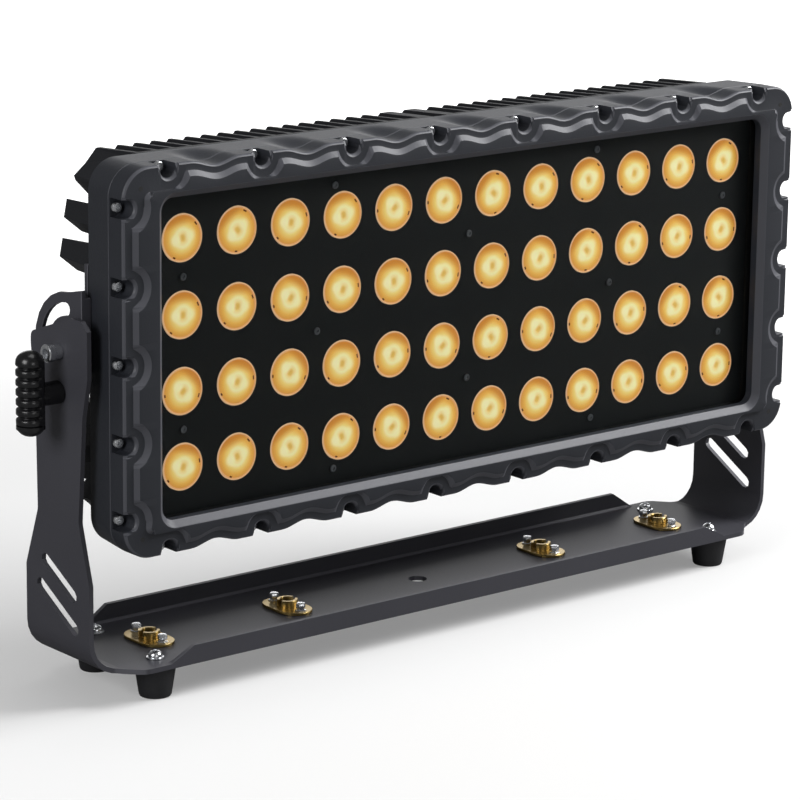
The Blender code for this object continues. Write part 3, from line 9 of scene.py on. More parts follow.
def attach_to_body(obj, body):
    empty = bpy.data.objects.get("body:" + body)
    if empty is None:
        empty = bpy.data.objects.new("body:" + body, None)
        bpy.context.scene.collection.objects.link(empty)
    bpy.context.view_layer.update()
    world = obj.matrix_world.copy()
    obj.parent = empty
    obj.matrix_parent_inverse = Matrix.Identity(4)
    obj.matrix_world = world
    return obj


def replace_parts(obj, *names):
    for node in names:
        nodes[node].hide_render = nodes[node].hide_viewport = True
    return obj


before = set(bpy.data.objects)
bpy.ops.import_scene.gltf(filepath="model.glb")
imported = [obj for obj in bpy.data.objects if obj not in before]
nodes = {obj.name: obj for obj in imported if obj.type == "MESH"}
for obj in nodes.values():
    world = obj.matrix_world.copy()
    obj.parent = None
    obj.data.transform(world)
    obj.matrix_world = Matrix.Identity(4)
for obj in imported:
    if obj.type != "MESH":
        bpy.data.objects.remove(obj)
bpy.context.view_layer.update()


# Building blocks

def linear(colour):
    parts = [int(colour[k:k + 2], 16) / 255 for k in (1, 3, 5)]
    return [p / 12.92 if p <= 0.04045 else ((p + 0.055) / 1.055) ** 2.4 for p in parts] + [1.0]


def addNode(tree, kind, settings=(), links=()):
    # A link is (node, output), or a node alone for its first output.
    node = tree.nodes.new(kind)
    for key, value in dict(settings).items():
        if isinstance(key, int) or key in node.inputs:
            node.inputs[key].default_value = value
        else:
            setattr(node, key, value)
    for key, link in dict(links).items():
        source, output = link if isinstance(link, tuple) else (link, 0)
        tree.links.new(source.outputs[output], node.inputs[key])
    return node


def attach(piece, body):
    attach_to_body(piece, body)


def newPiece(name, bm, body, material, smooth=32.0):
    bmesh.ops.remove_doubles(bm, verts=bm.verts, dist=2e-6)
    bmesh.ops.recalc_face_normals(bm, faces=bm.faces)
    mesh = bpy.data.meshes.new(name)
    bm.to_mesh(mesh)
    bm.free()
    mesh.shade_smooth()
    mesh.set_sharp_from_angle(angle=math.radians(smooth))
    mesh.materials.append(material)
    piece = bpy.data.objects.new(name, mesh)
    bpy.context.scene.collection.objects.link(piece)
    if body:
        attach(piece, body)
    return piece


def settle(piece):
    # Turns what the modifiers make into the piece's own plain mesh.
    graph = bpy.context.evaluated_depsgraph_get()
    mesh = bpy.data.meshes.new_from_object(piece.evaluated_get(graph))
    mesh.name = piece.name
    piece.modifiers.clear()
    piece.data = mesh


def ring(bm, points):
    return [bm.verts.new(point) for point in points]


def strip(bm, first, second):
    count = len(first)
    for i in range(count):
        j = (i + 1) % count
        bm.faces.new((first[i], first[j], second[j], second[i]))


def skin(bm, rings):
    for first, second in zip(rings, rings[1:]):
        strip(bm, first, second)


def solid(bm, rings):
    skin(bm, rings)
    bm.faces.new(rings[0])
    bm.faces.new(rings[-1])


def fill(bm, *loops):
    edges = []
    for loop in loops:
        for i, vert in enumerate(loop):
            other = loop[(i + 1) % len(loop)]
            edges.append(bm.edges.get((vert, other)) or bm.edges.new((vert, other)))
    bmesh.ops.triangle_fill(bm, use_beauty=True, use_dissolve=False, edges=edges)


def place(axis, along, u, v):
    if axis == "X":
        return (along, u, v)
    if axis == "Y":
        return (u, along, v)
    return (u, v, along)


def circle(centre, radius, sides):
    angles = [2 * math.pi * k / sides for k in range(sides)]
    return [(centre[0] + radius * math.cos(a), centre[1] + radius * math.sin(a)) for a in angles]


def turned(bm, profile, axis, centre, sides, flip=1):
    # Revolves (radius, along) pairs. Both ends close in a flat disc, or in a point on the axis.
    point = 1e-5
    solid(bm, [ring(bm, [place(axis, flip * along, u, v) for u, v in circle(centre, max(r, point), sides)])
               for r, along in profile])


def spread(count, reach):
    return [-reach + 2 * reach * k / (count - 1) for k in range(count)]


def scatter(name, source, spots, turn, seed, body, material):
    # Repeats a mesh on points with Geometry Nodes, each copy turned by chance up to the given angles.
    host = bpy.data.meshes.new(name)
    host.from_pydata([tuple(spot) for spot in spots], [], [])
    piece = bpy.data.objects.new(name, host)
    bpy.context.scene.collection.objects.link(piece)
    tree = bpy.data.node_groups.new(name + "Nodes", "GeometryNodeTree")
    sockets = {"Points": "Geometry", "Source": "Object", "Turn": "Vector", "Material": "Material"}
    for label, kind in sockets.items():
        tree.interface.new_socket(label, in_out="INPUT", socket_type="NodeSocket" + kind)
    tree.interface.new_socket("Mesh", in_out="OUTPUT", socket_type="NodeSocketGeometry")
    given = addNode(tree, "NodeGroupInput")
    info = addNode(tree, "GeometryNodeObjectInfo", {}, {"Object": (given, "Source")})
    back = addNode(tree, "ShaderNodeVectorMath", {"operation": "SCALE", "Scale": -1.0},
                   {0: (given, "Turn")})
    chance = addNode(tree, "FunctionNodeRandomValue", {"data_type": "FLOAT_VECTOR", "Seed": seed},
                     {0: back, 1: (given, "Turn")})
    copies = addNode(tree, "GeometryNodeInstanceOnPoints", {},
                     {"Points": (given, "Points"), "Instance": (info, "Geometry"), "Rotation": chance})
    real = addNode(tree, "GeometryNodeRealizeInstances", {}, {"Geometry": copies})
    finished = addNode(tree, "GeometryNodeSetMaterial", {},
                       {"Geometry": real, "Material": (given, "Material")})
    addNode(tree, "NodeGroupOutput", {}, {"Mesh": finished})
    change = piece.modifiers.new("repeat", "NODES")
    change.node_group = tree
    keys = {item.name: item.identifier for item in tree.interface.items_tree}
    change[keys["Source"]] = source
    change[keys["Turn"]] = turn
    change[keys["Material"]] = material
    settle(piece)
    bpy.data.objects.remove(source)
    attach(piece, body)
    return piece


def softened(name, node, width, material, body):
    # A copy of a CAD node with its sharp edges rounded, so that they catch the light.
    bm = bmesh.new()
    bm.from_mesh(nodes[node].data)
    bmesh.ops.remove_doubles(bm, verts=bm.verts, dist=2e-6)
    bmesh.ops.dissolve_limit(bm, angle_limit=math.radians(0.5), verts=bm.verts, edges=bm.edges)
    piece = newPiece(name, bm, None, material)
    rounding = piece.modifiers.new("round", "BEVEL")
    rounding.width = width
    rounding.segments = 2
    rounding.limit_method = "ANGLE"
    rounding.angle_limit = math.radians(40)
    rounding.harden_normals = False
    piece.modifiers.new("even", "WEIGHTED_NORMAL").keep_sharp = True
    settle(piece)
    attach(piece, body)
    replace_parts(piece, node)


# Finishes. A grain is the real width of a pattern's spots, in metres.

cloudWidth = 1 / 14.0  # a coat's faint clouds, about 70 mm wide
# Bounds of |normal Y| for a painted highlight: faces leaning between facing front and facing sideways take
# each coat's edge colour, the highlight's colour.
slantHighlightRange = {"start": 0.2, "full": 0.4, "fade": 0.9, "gone": 0.97}
# The sheet coat is drawn lighter than the casting coat as painted light, so that the yoke and tilt plates
# read brighter.
sheetCoatPaintedLighter = {"low": "#38383e", "high": "#414147", "edge": "#56565c", "roughness": 0.48, "grain": 0.0011,
             "relief": 0.00012}
castCoat = {"low": "#24262b", "high": "#2a2c32", "edge": "#4b4c52", "roughness": 0.47, "grain": 0.0014,
            "relief": 0.00015}
finCoat = {"low": "#141519", "high": "#1b1c20", "edge": "#1d1e22", "roughness": 0.60, "grain": 0.0014,
           "relief": 0.00015}
plateCoat = {"low": "#04080a", "high": "#060a0c", "edge": "#0a0e11", "roughness": 0.62, "grain": 0.0007,
             "relief": 0.00002}
brightZinc = {"low": "#cfd1d5", "high": "#eceef0", "roughness": 0.24, "grain": 0.011}
darkSteel = {"low": "#606165", "high": "#85868a", "roughness": 0.30, "grain": 0.011}
yellowZinc = {"low": "#9a8248", "high": "#c2aa72", "roughness": 0.28, "grain": 0.0167}
gripNylon = {"low": "#0b0b0d", "high": "#121214", "roughness": 0.27, "grain": 0.002, "relief": 0.00008}
footRubber = {"low": "#1b1b1e", "high": "#242427", "roughness": 0.62, "grain": 0.0011, "relief": 0.00012}
sealRubber = {"low": "#101011", "high": "#161617", "roughness": 0.75, "grain": 0.0011, "relief": 0.0001}
displayAcrylic = {"low": "#04070a", "high": "#070b10", "roughness": 0.06, "grain": 0.025, "relief": 0.00001}
temperedGlass = {"tint": "#f7f9f9", "gloss": 1.10, "roughness": 0.04}
maskedBoard = {"low": "#0d3b20", "high": "#1d5a34", "tracks": 60.0, "sway": 3.0, "roughness": 0.40}
optic = {
    "rings": ((0.0, "#e2b458"), (0.10, "#e6bb60"), (0.19, "#f5dc92"), (0.36, "#fdf0b4"), (0.52, "#f7d67c"),
              (0.72, "#edb452"), (0.88, "#e09a46"), (0.94, "#e6b07c"), (1.0, "#eec6a0")),
    # Two painted highlights: their places along x with strengths, their soft core and edge, and their
    # colour.
    "paintedHighlights": ((-0.17, 1.0), (0.19, 0.7)), "highlightCore": 0.03, "highlightEdge": 0.17, "highlightColour": "#fff5bc",
    "shadeLow": 0.2, "shadeHigh": 0.42, "shadeMost": 0.75, "shadeEdge": 0.93, "shade": "#c9792c",
    "ribs": 72.0, "ribsInner": 0.5, "ribsOuter": 0.9, "ribDepth": 0.06, "ribBase": 0.08, "rib": "#c98a34",
    "clips": ((0.45, 0.10, 0.86), (-2.25, 0.07, 0.88)), "clipHeight": 0.035, "clip": "#5a2c10",
    # glow: the emission strength of the lens colour, a painted glow.
    "roughness": 0.22, "glow": 0.52, "specular": 0.4,
}


def newMaterial(name):
    material = bpy.data.materials.new(name)
    material.use_nodes = True
    material.node_tree.nodes.clear()
    return material, material.node_tree


def finishMaterial(material, shader):
    addNode(material.node_tree, "ShaderNodeOutputMaterial", {}, {"Surface": shader})
    return material


def powderCoated(name, finish):
    # Polyester powder, sprayed and baked: dark satin, faintly cloudy, with orange peel about a millimetre
    # wide, and a painted highlight on faces that lean between facing front and facing sideways.
    material, tree = newMaterial(name)
    spot = addNode(tree, "ShaderNodeTexCoord")
    cloud = addNode(tree, "ShaderNodeTexNoise", {"Scale": 1 / cloudWidth, "Detail": 3.0},
                    {"Vector": (spot, "Object")})
    peel = addNode(tree, "ShaderNodeTexNoise", {"Scale": 1 / finish["grain"], "Detail": 2.0},
                   {"Vector": (spot, "Object")})
    flat = addNode(tree, "ShaderNodeMix", {"data_type": "RGBA", 6: linear(finish["low"]),
                                           7: linear(finish["high"])}, {0: (cloud, "Fac")})
    # Painted highlight: slanted faces are mixed towards the edge colour, standing in for the light that such
    # slopes catch.
    facing = addNode(tree, "ShaderNodeSeparateXYZ", {}, {0: (spot, "Normal")})
    slant = addNode(tree, "ShaderNodeMath", {"operation": "ABSOLUTE"}, {0: (facing, "Y")})
    leaving = addNode(tree, "ShaderNodeMapRange",
                      {1: slantHighlightRange["start"], 2: slantHighlightRange["full"], 3: 0.0, 4: 1.0}, {0: slant})
    arriving = addNode(tree, "ShaderNodeMapRange",
                       {1: slantHighlightRange["fade"], 2: slantHighlightRange["gone"], 3: 1.0, 4: 0.0}, {0: slant})
    paintedHighlight = addNode(tree, "ShaderNodeMath", {"operation": "MULTIPLY"}, {0: leaving, 1: arriving})
    colour = addNode(tree, "ShaderNodeMix", {"data_type": "RGBA", 7: linear(finish["edge"])},
                     {0: paintedHighlight, 6: (flat, 2)})
    rough = finish["roughness"]
    sheen = addNode(tree, "ShaderNodeMapRange", {3: rough - 0.05, 4: rough + 0.06}, {0: (peel, "Fac")})
    bump = addNode(tree, "ShaderNodeBump", {"Strength": 0.35, "Distance": finish["relief"]},
                   {"Height": (peel, "Fac")})
    shader = addNode(tree, "ShaderNodeBsdfPrincipled", {"Specular IOR Level": 0.32},
                     {"Base Color": (colour, 2), "Roughness": sheen, "Normal": bump})
    return finishMaterial(material, shader)


def platedSteel(name, finish):
    # Electroplated or blackened steel: a metal whose tint and gloss drift a little from place to place.
    material, tree = newMaterial(name)
    spot = addNode(tree, "ShaderNodeTexCoord")
    cloud = addNode(tree, "ShaderNodeTexNoise", {"Scale": 1 / finish["grain"], "Detail": 4.0},
                    {"Vector": (spot, "Object")})
    colour = addNode(tree, "ShaderNodeMix", {"data_type": "RGBA", 6: linear(finish["low"]),
                                             7: linear(finish["high"])}, {0: (cloud, "Fac")})
    rough = finish["roughness"]
    gloss = addNode(tree, "ShaderNodeMapRange", {3: rough - 0.08, 4: rough + 0.12}, {0: (cloud, "Fac")})
    shader = addNode(tree, "ShaderNodeBsdfPrincipled", {"Metallic": 1.0},
                     {"Base Color": (colour, 2), "Roughness": gloss})
    return finishMaterial(material, shader)


def moulded(name, finish):
    # Moulded nylon, acrylic or rubber: an even colour, with its mould's texture drawn coarse enough to show.
    material, tree = newMaterial(name)
    spot = addNode(tree, "ShaderNodeTexCoord")
    grain = addNode(tree, "ShaderNodeTexNoise", {"Scale": 1 / finish["grain"], "Detail": 3.0},
                    {"Vector": (spot, "Object")})
    colour = addNode(tree, "ShaderNodeMix", {"data_type": "RGBA", 6: linear(finish["low"]),
                                             7: linear(finish["high"])}, {0: (grain, "Fac")})
    bump = addNode(tree, "ShaderNodeBump", {"Strength": 0.4, "Distance": finish["relief"]},
                   {"Height": (grain, "Fac")})
    shader = addNode(tree, "ShaderNodeBsdfPrincipled", {"Roughness": finish["roughness"]},
                     {"Base Color": (colour, 2), "Normal": bump})
    return finishMaterial(material, shader)


def paneGlass(name, finish):
    # Coated tempered glass: clear straight through, with a faint gloss on its face.
    material, tree = newMaterial(name)
    clear = addNode(tree, "ShaderNodeBsdfTransparent", {"Color": linear(finish["tint"])})
    shine = addNode(tree, "ShaderNodeBsdfAnisotropic", {"Roughness": finish["roughness"]})
    facing = addNode(tree, "ShaderNodeFresnel", {"IOR": finish["gloss"]})
    shader = addNode(tree, "ShaderNodeMixShader", {}, {0: facing, 1: clear, 2: shine})
    return finishMaterial(material, shader)


def circuitBoard(name, finish):
    # Glass fibre board under solder mask: green, with rows of paler tracks.
    material, tree = newMaterial(name)
    spot = addNode(tree, "ShaderNodeTexCoord")
    tracks = addNode(tree, "ShaderNodeTexWave", {"Scale": finish["tracks"], "Distortion": finish["sway"]},
                     {"Vector": (spot, "Object")})
    colour = addNode(tree, "ShaderNodeMix", {"data_type": "RGBA", 6: linear(finish["low"]),
                                             7: linear(finish["high"])}, {0: (tracks, "Fac")})
    shader = addNode(tree, "ShaderNodeBsdfPrincipled", {"Roughness": finish["roughness"]},
                     {"Base Color": (colour, 2)})
    return finishMaterial(material, shader)


def litLens(name, finish):
    # Moulded acrylic over the LEDs: rings of amber and cream, two painted highlights, a darker crescent at
    # the top, fine ribs drawn wider than the real ones, two dark clips, and a painted glow from emission.
    material, tree = newMaterial(name)
    spot = addNode(tree, "ShaderNodeUVMap", {"uv_map": "UVMap"})
    shift = addNode(tree, "ShaderNodeVectorMath", {"operation": "SUBTRACT", 1: (0.5, 0.5, 0.0)}, {0: spot})
    size = addNode(tree, "ShaderNodeVectorMath", {"operation": "LENGTH"}, {0: shift})
    radius = addNode(tree, "ShaderNodeMath", {"operation": "MULTIPLY", 1: 2.0}, {0: (size, "Value")})
    parts = addNode(tree, "ShaderNodeSeparateXYZ", {}, {0: shift})
    angle = addNode(tree, "ShaderNodeMath", {"operation": "ARCTAN2"}, {0: (parts, "Y"), 1: (parts, "X")})
    rings = addNode(tree, "ShaderNodeValToRGB", {}, {"Fac": radius})
    band = rings.color_ramp
    while len(band.elements) < len(finish["rings"]):
        band.elements.new(0.5)
    for element, (at, colour) in zip(band.elements, finish["rings"]):
        element.position = at
        element.color = linear(colour)
    paintedHighlights = []
    # Painted highlights: two soft bright spots either side of the middle.
    for x, strength in finish["paintedHighlights"]:
        away = addNode(tree, "ShaderNodeVectorMath", {"operation": "DISTANCE", 1: (x, 0.0, 0.0)},
                       {0: shift})
        paintedHighlights.append(addNode(tree, "ShaderNodeMapRange",
                             {"interpolation_type": "SMOOTHSTEP", 1: finish["highlightCore"],
                              2: finish["highlightEdge"], 3: strength, 4: 0.0}, {0: (away, "Value")}))
    highlightMask = addNode(tree, "ShaderNodeMath", {"operation": "MAXIMUM"}, {0: paintedHighlights[0], 1: paintedHighlights[1]})
    bright = addNode(tree, "ShaderNodeMix", {"data_type": "RGBA", 7: linear(finish["highlightColour"])},
                     {0: highlightMask, 6: (rings, "Color")})
    high = addNode(tree, "ShaderNodeMapRange",
                   {"interpolation_type": "SMOOTHSTEP", 1: finish["shadeLow"], 2: finish["shadeHigh"],
                    3: 0.0, 4: finish["shadeMost"]}, {0: (parts, "Y")})
    within = addNode(tree, "ShaderNodeMath", {"operation": "LESS_THAN", 1: finish["shadeEdge"]},
                     {0: radius})
    crescent = addNode(tree, "ShaderNodeMath", {"operation": "MULTIPLY"}, {0: high, 1: within})
    shaded = addNode(tree, "ShaderNodeMix", {"data_type": "RGBA", 7: linear(finish["shade"])},
                     {0: crescent, 6: (bright, 2)})
    turns = addNode(tree, "ShaderNodeMath", {"operation": "MULTIPLY", 1: finish["ribs"]}, {0: angle})
    wave = addNode(tree, "ShaderNodeMath", {"operation": "SINE"}, {0: turns})
    outside = addNode(tree, "ShaderNodeMath", {"operation": "GREATER_THAN", 1: finish["ribsInner"]},
                      {0: radius})
    inside = addNode(tree, "ShaderNodeMath", {"operation": "LESS_THAN", 1: finish["ribsOuter"]},
                     {0: radius})
    zone = addNode(tree, "ShaderNodeMath", {"operation": "MULTIPLY"}, {0: outside, 1: inside})
    ribs = addNode(tree, "ShaderNodeMath", {"operation": "MULTIPLY"}, {0: wave, 1: zone})
    depth = addNode(tree, "ShaderNodeMath",
                    {"operation": "MULTIPLY_ADD", 1: finish["ribDepth"], 2: finish["ribBase"]}, {0: ribs})
    ribbed = addNode(tree, "ShaderNodeMix", {"data_type": "RGBA", 7: linear(finish["rib"])},
                     {0: depth, 6: (shaded, 2)})
    marks = []
    for at, reach, centre in finish["clips"]:
        near = []
        for value, middle, limit in ((angle, at, reach), (radius, centre, finish["clipHeight"])):
            gap = addNode(tree, "ShaderNodeMath", {"operation": "SUBTRACT", 1: middle}, {0: value})
            off = addNode(tree, "ShaderNodeMath", {"operation": "ABSOLUTE"}, {0: gap})
            near.append(addNode(tree, "ShaderNodeMath", {"operation": "LESS_THAN", 1: limit}, {0: off}))
        marks.append(addNode(tree, "ShaderNodeMath", {"operation": "MULTIPLY"}, {0: near[0], 1: near[1]}))
    clips = addNode(tree, "ShaderNodeMath", {"operation": "MAXIMUM"}, {0: marks[0], 1: marks[1]})
    colour = addNode(tree, "ShaderNodeMix", {"data_type": "RGBA", 7: linear(finish["clip"])},
                     {0: clips, 6: (ribbed, 2)})
    # The lens colour is also emitted: a painted glow.
    shader = addNode(tree, "ShaderNodeBsdfPrincipled",
                     {"Roughness": finish["roughness"], "Emission Strength": finish["glow"],
                      "Specular IOR Level": finish["specular"]},
                     {"Base Color": (colour, 2), "Emission Color": (colour, 2)})
    return finishMaterial(material, shader)


coat = powderCoated("powderCoatedSheet", sheetCoatPaintedLighter)
cast = powderCoated("powderCoatedCasting", castCoat)
fins = powderCoated("powderCoatedFins", finCoat)
faceSheet = powderCoated("blackCoatedSheet", plateCoat)
zinc = platedSteel("brightZincPlate", brightZinc)
blackened = platedSteel("blackenedSteel", darkSteel)
yellowPlate = platedSteel("yellowZincPlate", yellowZinc)
nylon = moulded("mouldedNylon", gripNylon)
rubber = moulded("mouldedRubber", footRubber)
seal = moulded("sealRubber", sealRubber)
displayPane = moulded("displayAcrylic", displayAcrylic)
glass = paneGlass("temperedGlass", temperedGlass)
acrylic = litLens("mouldedAcrylic", optic)
board = circuitBoard("maskedBoard", maskedBoard)
print("materials made")


# The head's outline. A distance s runs clockwise along it from the top's middle, a depth runs inwards.

head = {"halfX": 0.269425, "halfZ": 0.1165, "corner": 0.019, "centre": 0.212}
scallops = {"deep": 0.0036, "land": 0.0158}
notches = {"long": 8, "short": 5, "longInset": 0.0321, "shortInset": 0.0235, "radius": 0.0056,
           "centre": 0.0027, "chamfer": 0.0017, "floor": -0.0445, "sliver": 0.00002}


def roundedPoint(side, share, halfX, halfZ, corner):
    # A point of a rounded rectangle and its inward normal, clockwise from the top's middle.
    straightX = halfX - corner
    straightZ = halfZ - corner
    corners = {1: (1, 1, 90), 3: (1, -1, 0), 5: (-1, -1, 270), 7: (-1, 1, 180)}
    if side in corners:
        signX, signZ, start = corners[side]
        a = math.radians(start - 90 * share)
        point = (signX * straightX + corner * math.cos(a), signZ * straightZ + corner * math.sin(a))
        return point, (-math.cos(a), -math.sin(a))
    if side == 0:
        return (straightX * share, halfZ), (0, -1)
    if side == 2:
        return (halfX, straightZ * (1 - 2 * share)), (-1, 0)
    if side == 4:
        return (straightX * (1 - 2 * share), -halfZ), (0, 1)
    if side == 6:
        return (-halfX, straightZ * (2 * share - 1)), (1, 0)
    return (straightX * (share - 1), halfZ), (0, -1)


flatX = head["halfX"] - head["corner"]
flatZ = head["halfZ"] - head["corner"]
bend = math.pi / 2 * head["corner"]
spans = [flatX, bend, 2 * flatZ, bend, 2 * flatX, bend, 2 * flatZ, bend, flatX]
around = sum(spans)
longSpots = spread(notches["long"], head["halfX"] - notches["longInset"])
shortSpots = spread(notches["short"], head["halfZ"] - notches["shortInset"])


def headPoint(s):
    s %= around
    side = 0
    while side < 8 and s > spans[side]:
        s -= spans[side]
        side += 1
    return roundedPoint(side, s / spans[side], head["halfX"], head["halfZ"], head["corner"])


def notchPlaces():
    # Distances of the notches' middles, with 1 for those of the short sides.
    half = around / 2
    right = flatX + bend + flatZ
    places = [(x % around, 0) for x in longSpots] + [(half + x, 0) for x in longSpots]
    return places + [(right + z, 1) for z in shortSpots] + [(half + right + z, 1) for z in shortSpots]


screwPlaces = notchPlaces()


def wrapped(distance):
    return (distance + around / 2) % around - around / 2


def scallop(s):
    for low, high in zip(longSpots, longSpots[1:]):
        half = (high - low) / 2 - scallops["land"]
        for turn in (0, around / 2):
            away = wrapped(s - turn - (low + high) / 2)
            if abs(away) < half:
                return scallops["deep"] * 0.5 * (1 + math.cos(math.pi * away / half))
    return 0.0


def bent(s, depth, radius, centres):
    # Pushes a line inwards round each notch. Centres are for the long and the short sides.
    for spot, short in screwPlaces:
        away = wrapped(s - spot)
        if abs(away) < radius:
            depth = max(depth, centres[short] + math.sqrt(radius ** 2 - away ** 2))
    return depth


def contour(s, line):
    # Depth of one edge of the slope between the rim and the plateau.
    (x, z), (nx, nz) = headPoint(s)
    beside = abs(x) > head["halfX"] - notches["longInset"]
    if beside and abs(z) > head["halfZ"] - notches["shortInset"]:
        depth = line["corner"]
    else:
        depth = line["short"] if beside else line["long"] + scallop(s)
    depth = bent(s, depth, line["bend"], (notches["centre"], line["centre"]))
    if abs(nx) == 1:
        return depth
    return min(depth, line["corner"] if nx else line["most"])


def headRing(bm, stops, y, depth, stretch=(1.0, 1.0)):
    points = []
    for s in stops:
        (x, z), (nx, nz) = headPoint(s)
        d = depth(s)
        points.append(((x + nx * d) * stretch[0], y, head["centre"] + (z + nz * d) * stretch[1]))
    return ring(bm, points)


# The bezel: a casting with a rim, a slope up to the plateau, and the window's lip

bezel = {"back": -0.043, "edge": -0.0558, "land": -0.0576, "front": -0.060, "bevel": 0.0013,
         "step": 0.001, "shoulder": 0.0012, "shoulderShare": 0.38, "easeDeep": 0.00015, "easeIn": 0.0003,
         "easeOut": 0.0004, "crease": 15.0}
slopeFoot = {"long": 0.0047, "short": 0.0059, "corner": 0.0145, "bend": 0.0118, "centre": 0.0022,
             "most": 0.0149}
slopeHead = {"long": 0.0085, "short": 0.0095, "corner": 0.0175, "bend": 0.0145, "centre": 0.0038,
             "most": 0.0149}
window = {"halfX": 0.241625, "halfZ": 0.0964, "corner": 0.008, "lip": 0.004, "inner": -0.056,
          "seat": -0.0507, "lap": 0.0053, "lapCorner": 0.013, "ease": 0.0002}


def edgeStops():
    # Even steps along the outline, with close pairs where the notches begin and end.
    count = int(around / bezel["step"])
    stops = [around * k / count for k in range(count)]
    for spot, short in screwPlaces:
        for reach in (notches["radius"], notches["radius"] + notches["chamfer"]):
            for side in (-1, 1):
                stops += [spot + side * (reach + step) for step in (-notches["sliver"], notches["sliver"])]
    return sorted(s % around for s in stops)


def windowRing(bm, outer, y, grow, corner):
    # Each point is the window outline's nearest one to a point of the plateau's edge.
    straightX = window["halfX"] + grow - corner
    straightZ = window["halfZ"] + grow - corner
    points = []
    for vert in outer:
        x, z = vert.co.x, vert.co.z - head["centre"]
        nearX = max(-straightX, min(straightX, x))
        nearZ = max(-straightZ, min(straightZ, z))
        away = Vector((x - nearX, z - nearZ)).normalized() * corner
        points.append((nearX + away.x, y, head["centre"] + nearZ + away.y))
    return ring(bm, points)


def makeBezel():
    bm = bmesh.new()
    stops = edgeStops()
    centres = (notches["centre"], notches["centre"])

    def wall(s):
        return bent(s, scallop(s), notches["radius"], centres)

    def chamfer(s):
        return bent(s, scallop(s) + bezel["bevel"], notches["radius"] + notches["chamfer"], centres)

    def shoulder(s):
        return wall(s) * (1 - bezel["shoulderShare"]) + chamfer(s) * bezel["shoulderShare"]

    lines = [
        (bezel["back"], scallop), (notches["floor"], scallop), (notches["floor"], wall),
        (bezel["edge"], wall), (bezel["edge"] - bezel["shoulder"], shoulder), (bezel["land"], chamfer),
        (bezel["land"], lambda s: contour(s, slopeFoot) - bezel["easeOut"]),
        (bezel["land"] - bezel["easeDeep"], lambda s: contour(s, slopeFoot) + bezel["easeIn"]),
        (bezel["front"] + bezel["easeDeep"], lambda s: contour(s, slopeHead) - bezel["easeIn"]),
        (bezel["front"], lambda s: contour(s, slopeHead) + bezel["easeOut"])]
    rings = [headRing(bm, stops, y, depth) for y, depth in lines]
    outer = rings[-1]
    ease = window["ease"]
    for y, grow in ((bezel["front"], window["lip"]), (bezel["front"] + ease, window["lip"] - 2 * ease),
                    (window["inner"] - ease, ease), (window["inner"], 0.0), (window["seat"], 0.0)):
        rings.append(windowRing(bm, outer, y, grow, window["corner"] + grow))
    for y in (window["seat"], bezel["back"]):
        rings.append(windowRing(bm, outer, y, window["lap"], window["lapCorner"]))
    skin(bm, rings + rings[:1])
    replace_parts(newPiece("bezelFrame", bm, "head", cast, bezel["crease"]), "bezel")


# The housing: a casting whose scallops die away towards the back

housing = {"front": -0.0427, "back": -0.016, "taperX": 0.0041, "taperZ": 0.0005, "pinch": 0.0006,
           "shares": (0.0, 0.02, 0.15, 0.3, 0.45, 0.6, 0.75, 0.9, 0.98, 1.0), "reach": 1.15, "fall": 1.5,
           "crease": 40.0}


def makeHousing():
    bm = bmesh.new()
    stops = edgeStops()
    rings = []
    for share in housing["shares"]:
        y = housing["front"] + (housing["back"] - housing["front"]) * share
        fade = math.cos(math.pi / 2 * min(1.0, share * housing["reach"])) ** housing["fall"]
        pinch = housing["pinch"] if share in (0.0, 1.0) else 0.0
        stretch = (1 - housing["taperX"] * share / head["halfX"],
                   1 - housing["taperZ"] * share / head["halfZ"])
        rings.append(headRing(bm, stops, y, lambda s: scallop(s) * fade + pinch, stretch))
    solid(bm, rings)
    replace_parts(newPiece("housingShell", bm, "head", cast, housing["crease"]), "housing")


# The face plate and its lenses

facePlate = {"front": -0.0446, "back": -0.0431, "halfX": 0.2466, "halfZ": 0.1014, "corner": 0.013,
             "cornerSteps": 6, "gap": 0.0003, "holeSides": 48}
lens = {"columns": 12, "rows": 4, "pitchX": 0.03975, "pitchZ": 0.046, "radius": 0.0145, "front": -0.0451,
        "sink": 0.0003, "dome": 0.0009, "domeFoot": 0.0004, "domeReach": 0.9, "sides": 64, "turn": 0.9}


def lensSpots():
    xs = spread(lens["columns"], (lens["columns"] - 1) / 2 * lens["pitchX"])
    zs = spread(lens["rows"], (lens["rows"] - 1) / 2 * lens["pitchZ"])
    return [(x, head["centre"] + z) for z in zs for x in xs]


def makeFacePlate():
    bm = bmesh.new()
    steps = facePlate["cornerSteps"]
    outline = []
    for side in range(9):
        for k in range(steps):
            (x, z), normal = roundedPoint(side, k / steps, facePlate["halfX"], facePlate["halfZ"],
                                          facePlate["corner"])
            outline.append((x, head["centre"] + z))
    hole = lens["radius"] + facePlate["gap"]
    holes = [circle(spot, hole, facePlate["holeSides"]) for spot in lensSpots()]
    front = [ring(bm, [(x, facePlate["front"], z) for x, z in loop]) for loop in [outline] + holes]
    back = [ring(bm, [(x, facePlate["back"], z) for x, z in loop]) for loop in [outline] + holes]
    for first, second in zip(front, back):
        strip(bm, first, second)
    fill(bm, *front)
    fill(bm, *back)
    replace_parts(newPiece("lensPlate", bm, "head", faceSheet), "face_plate")


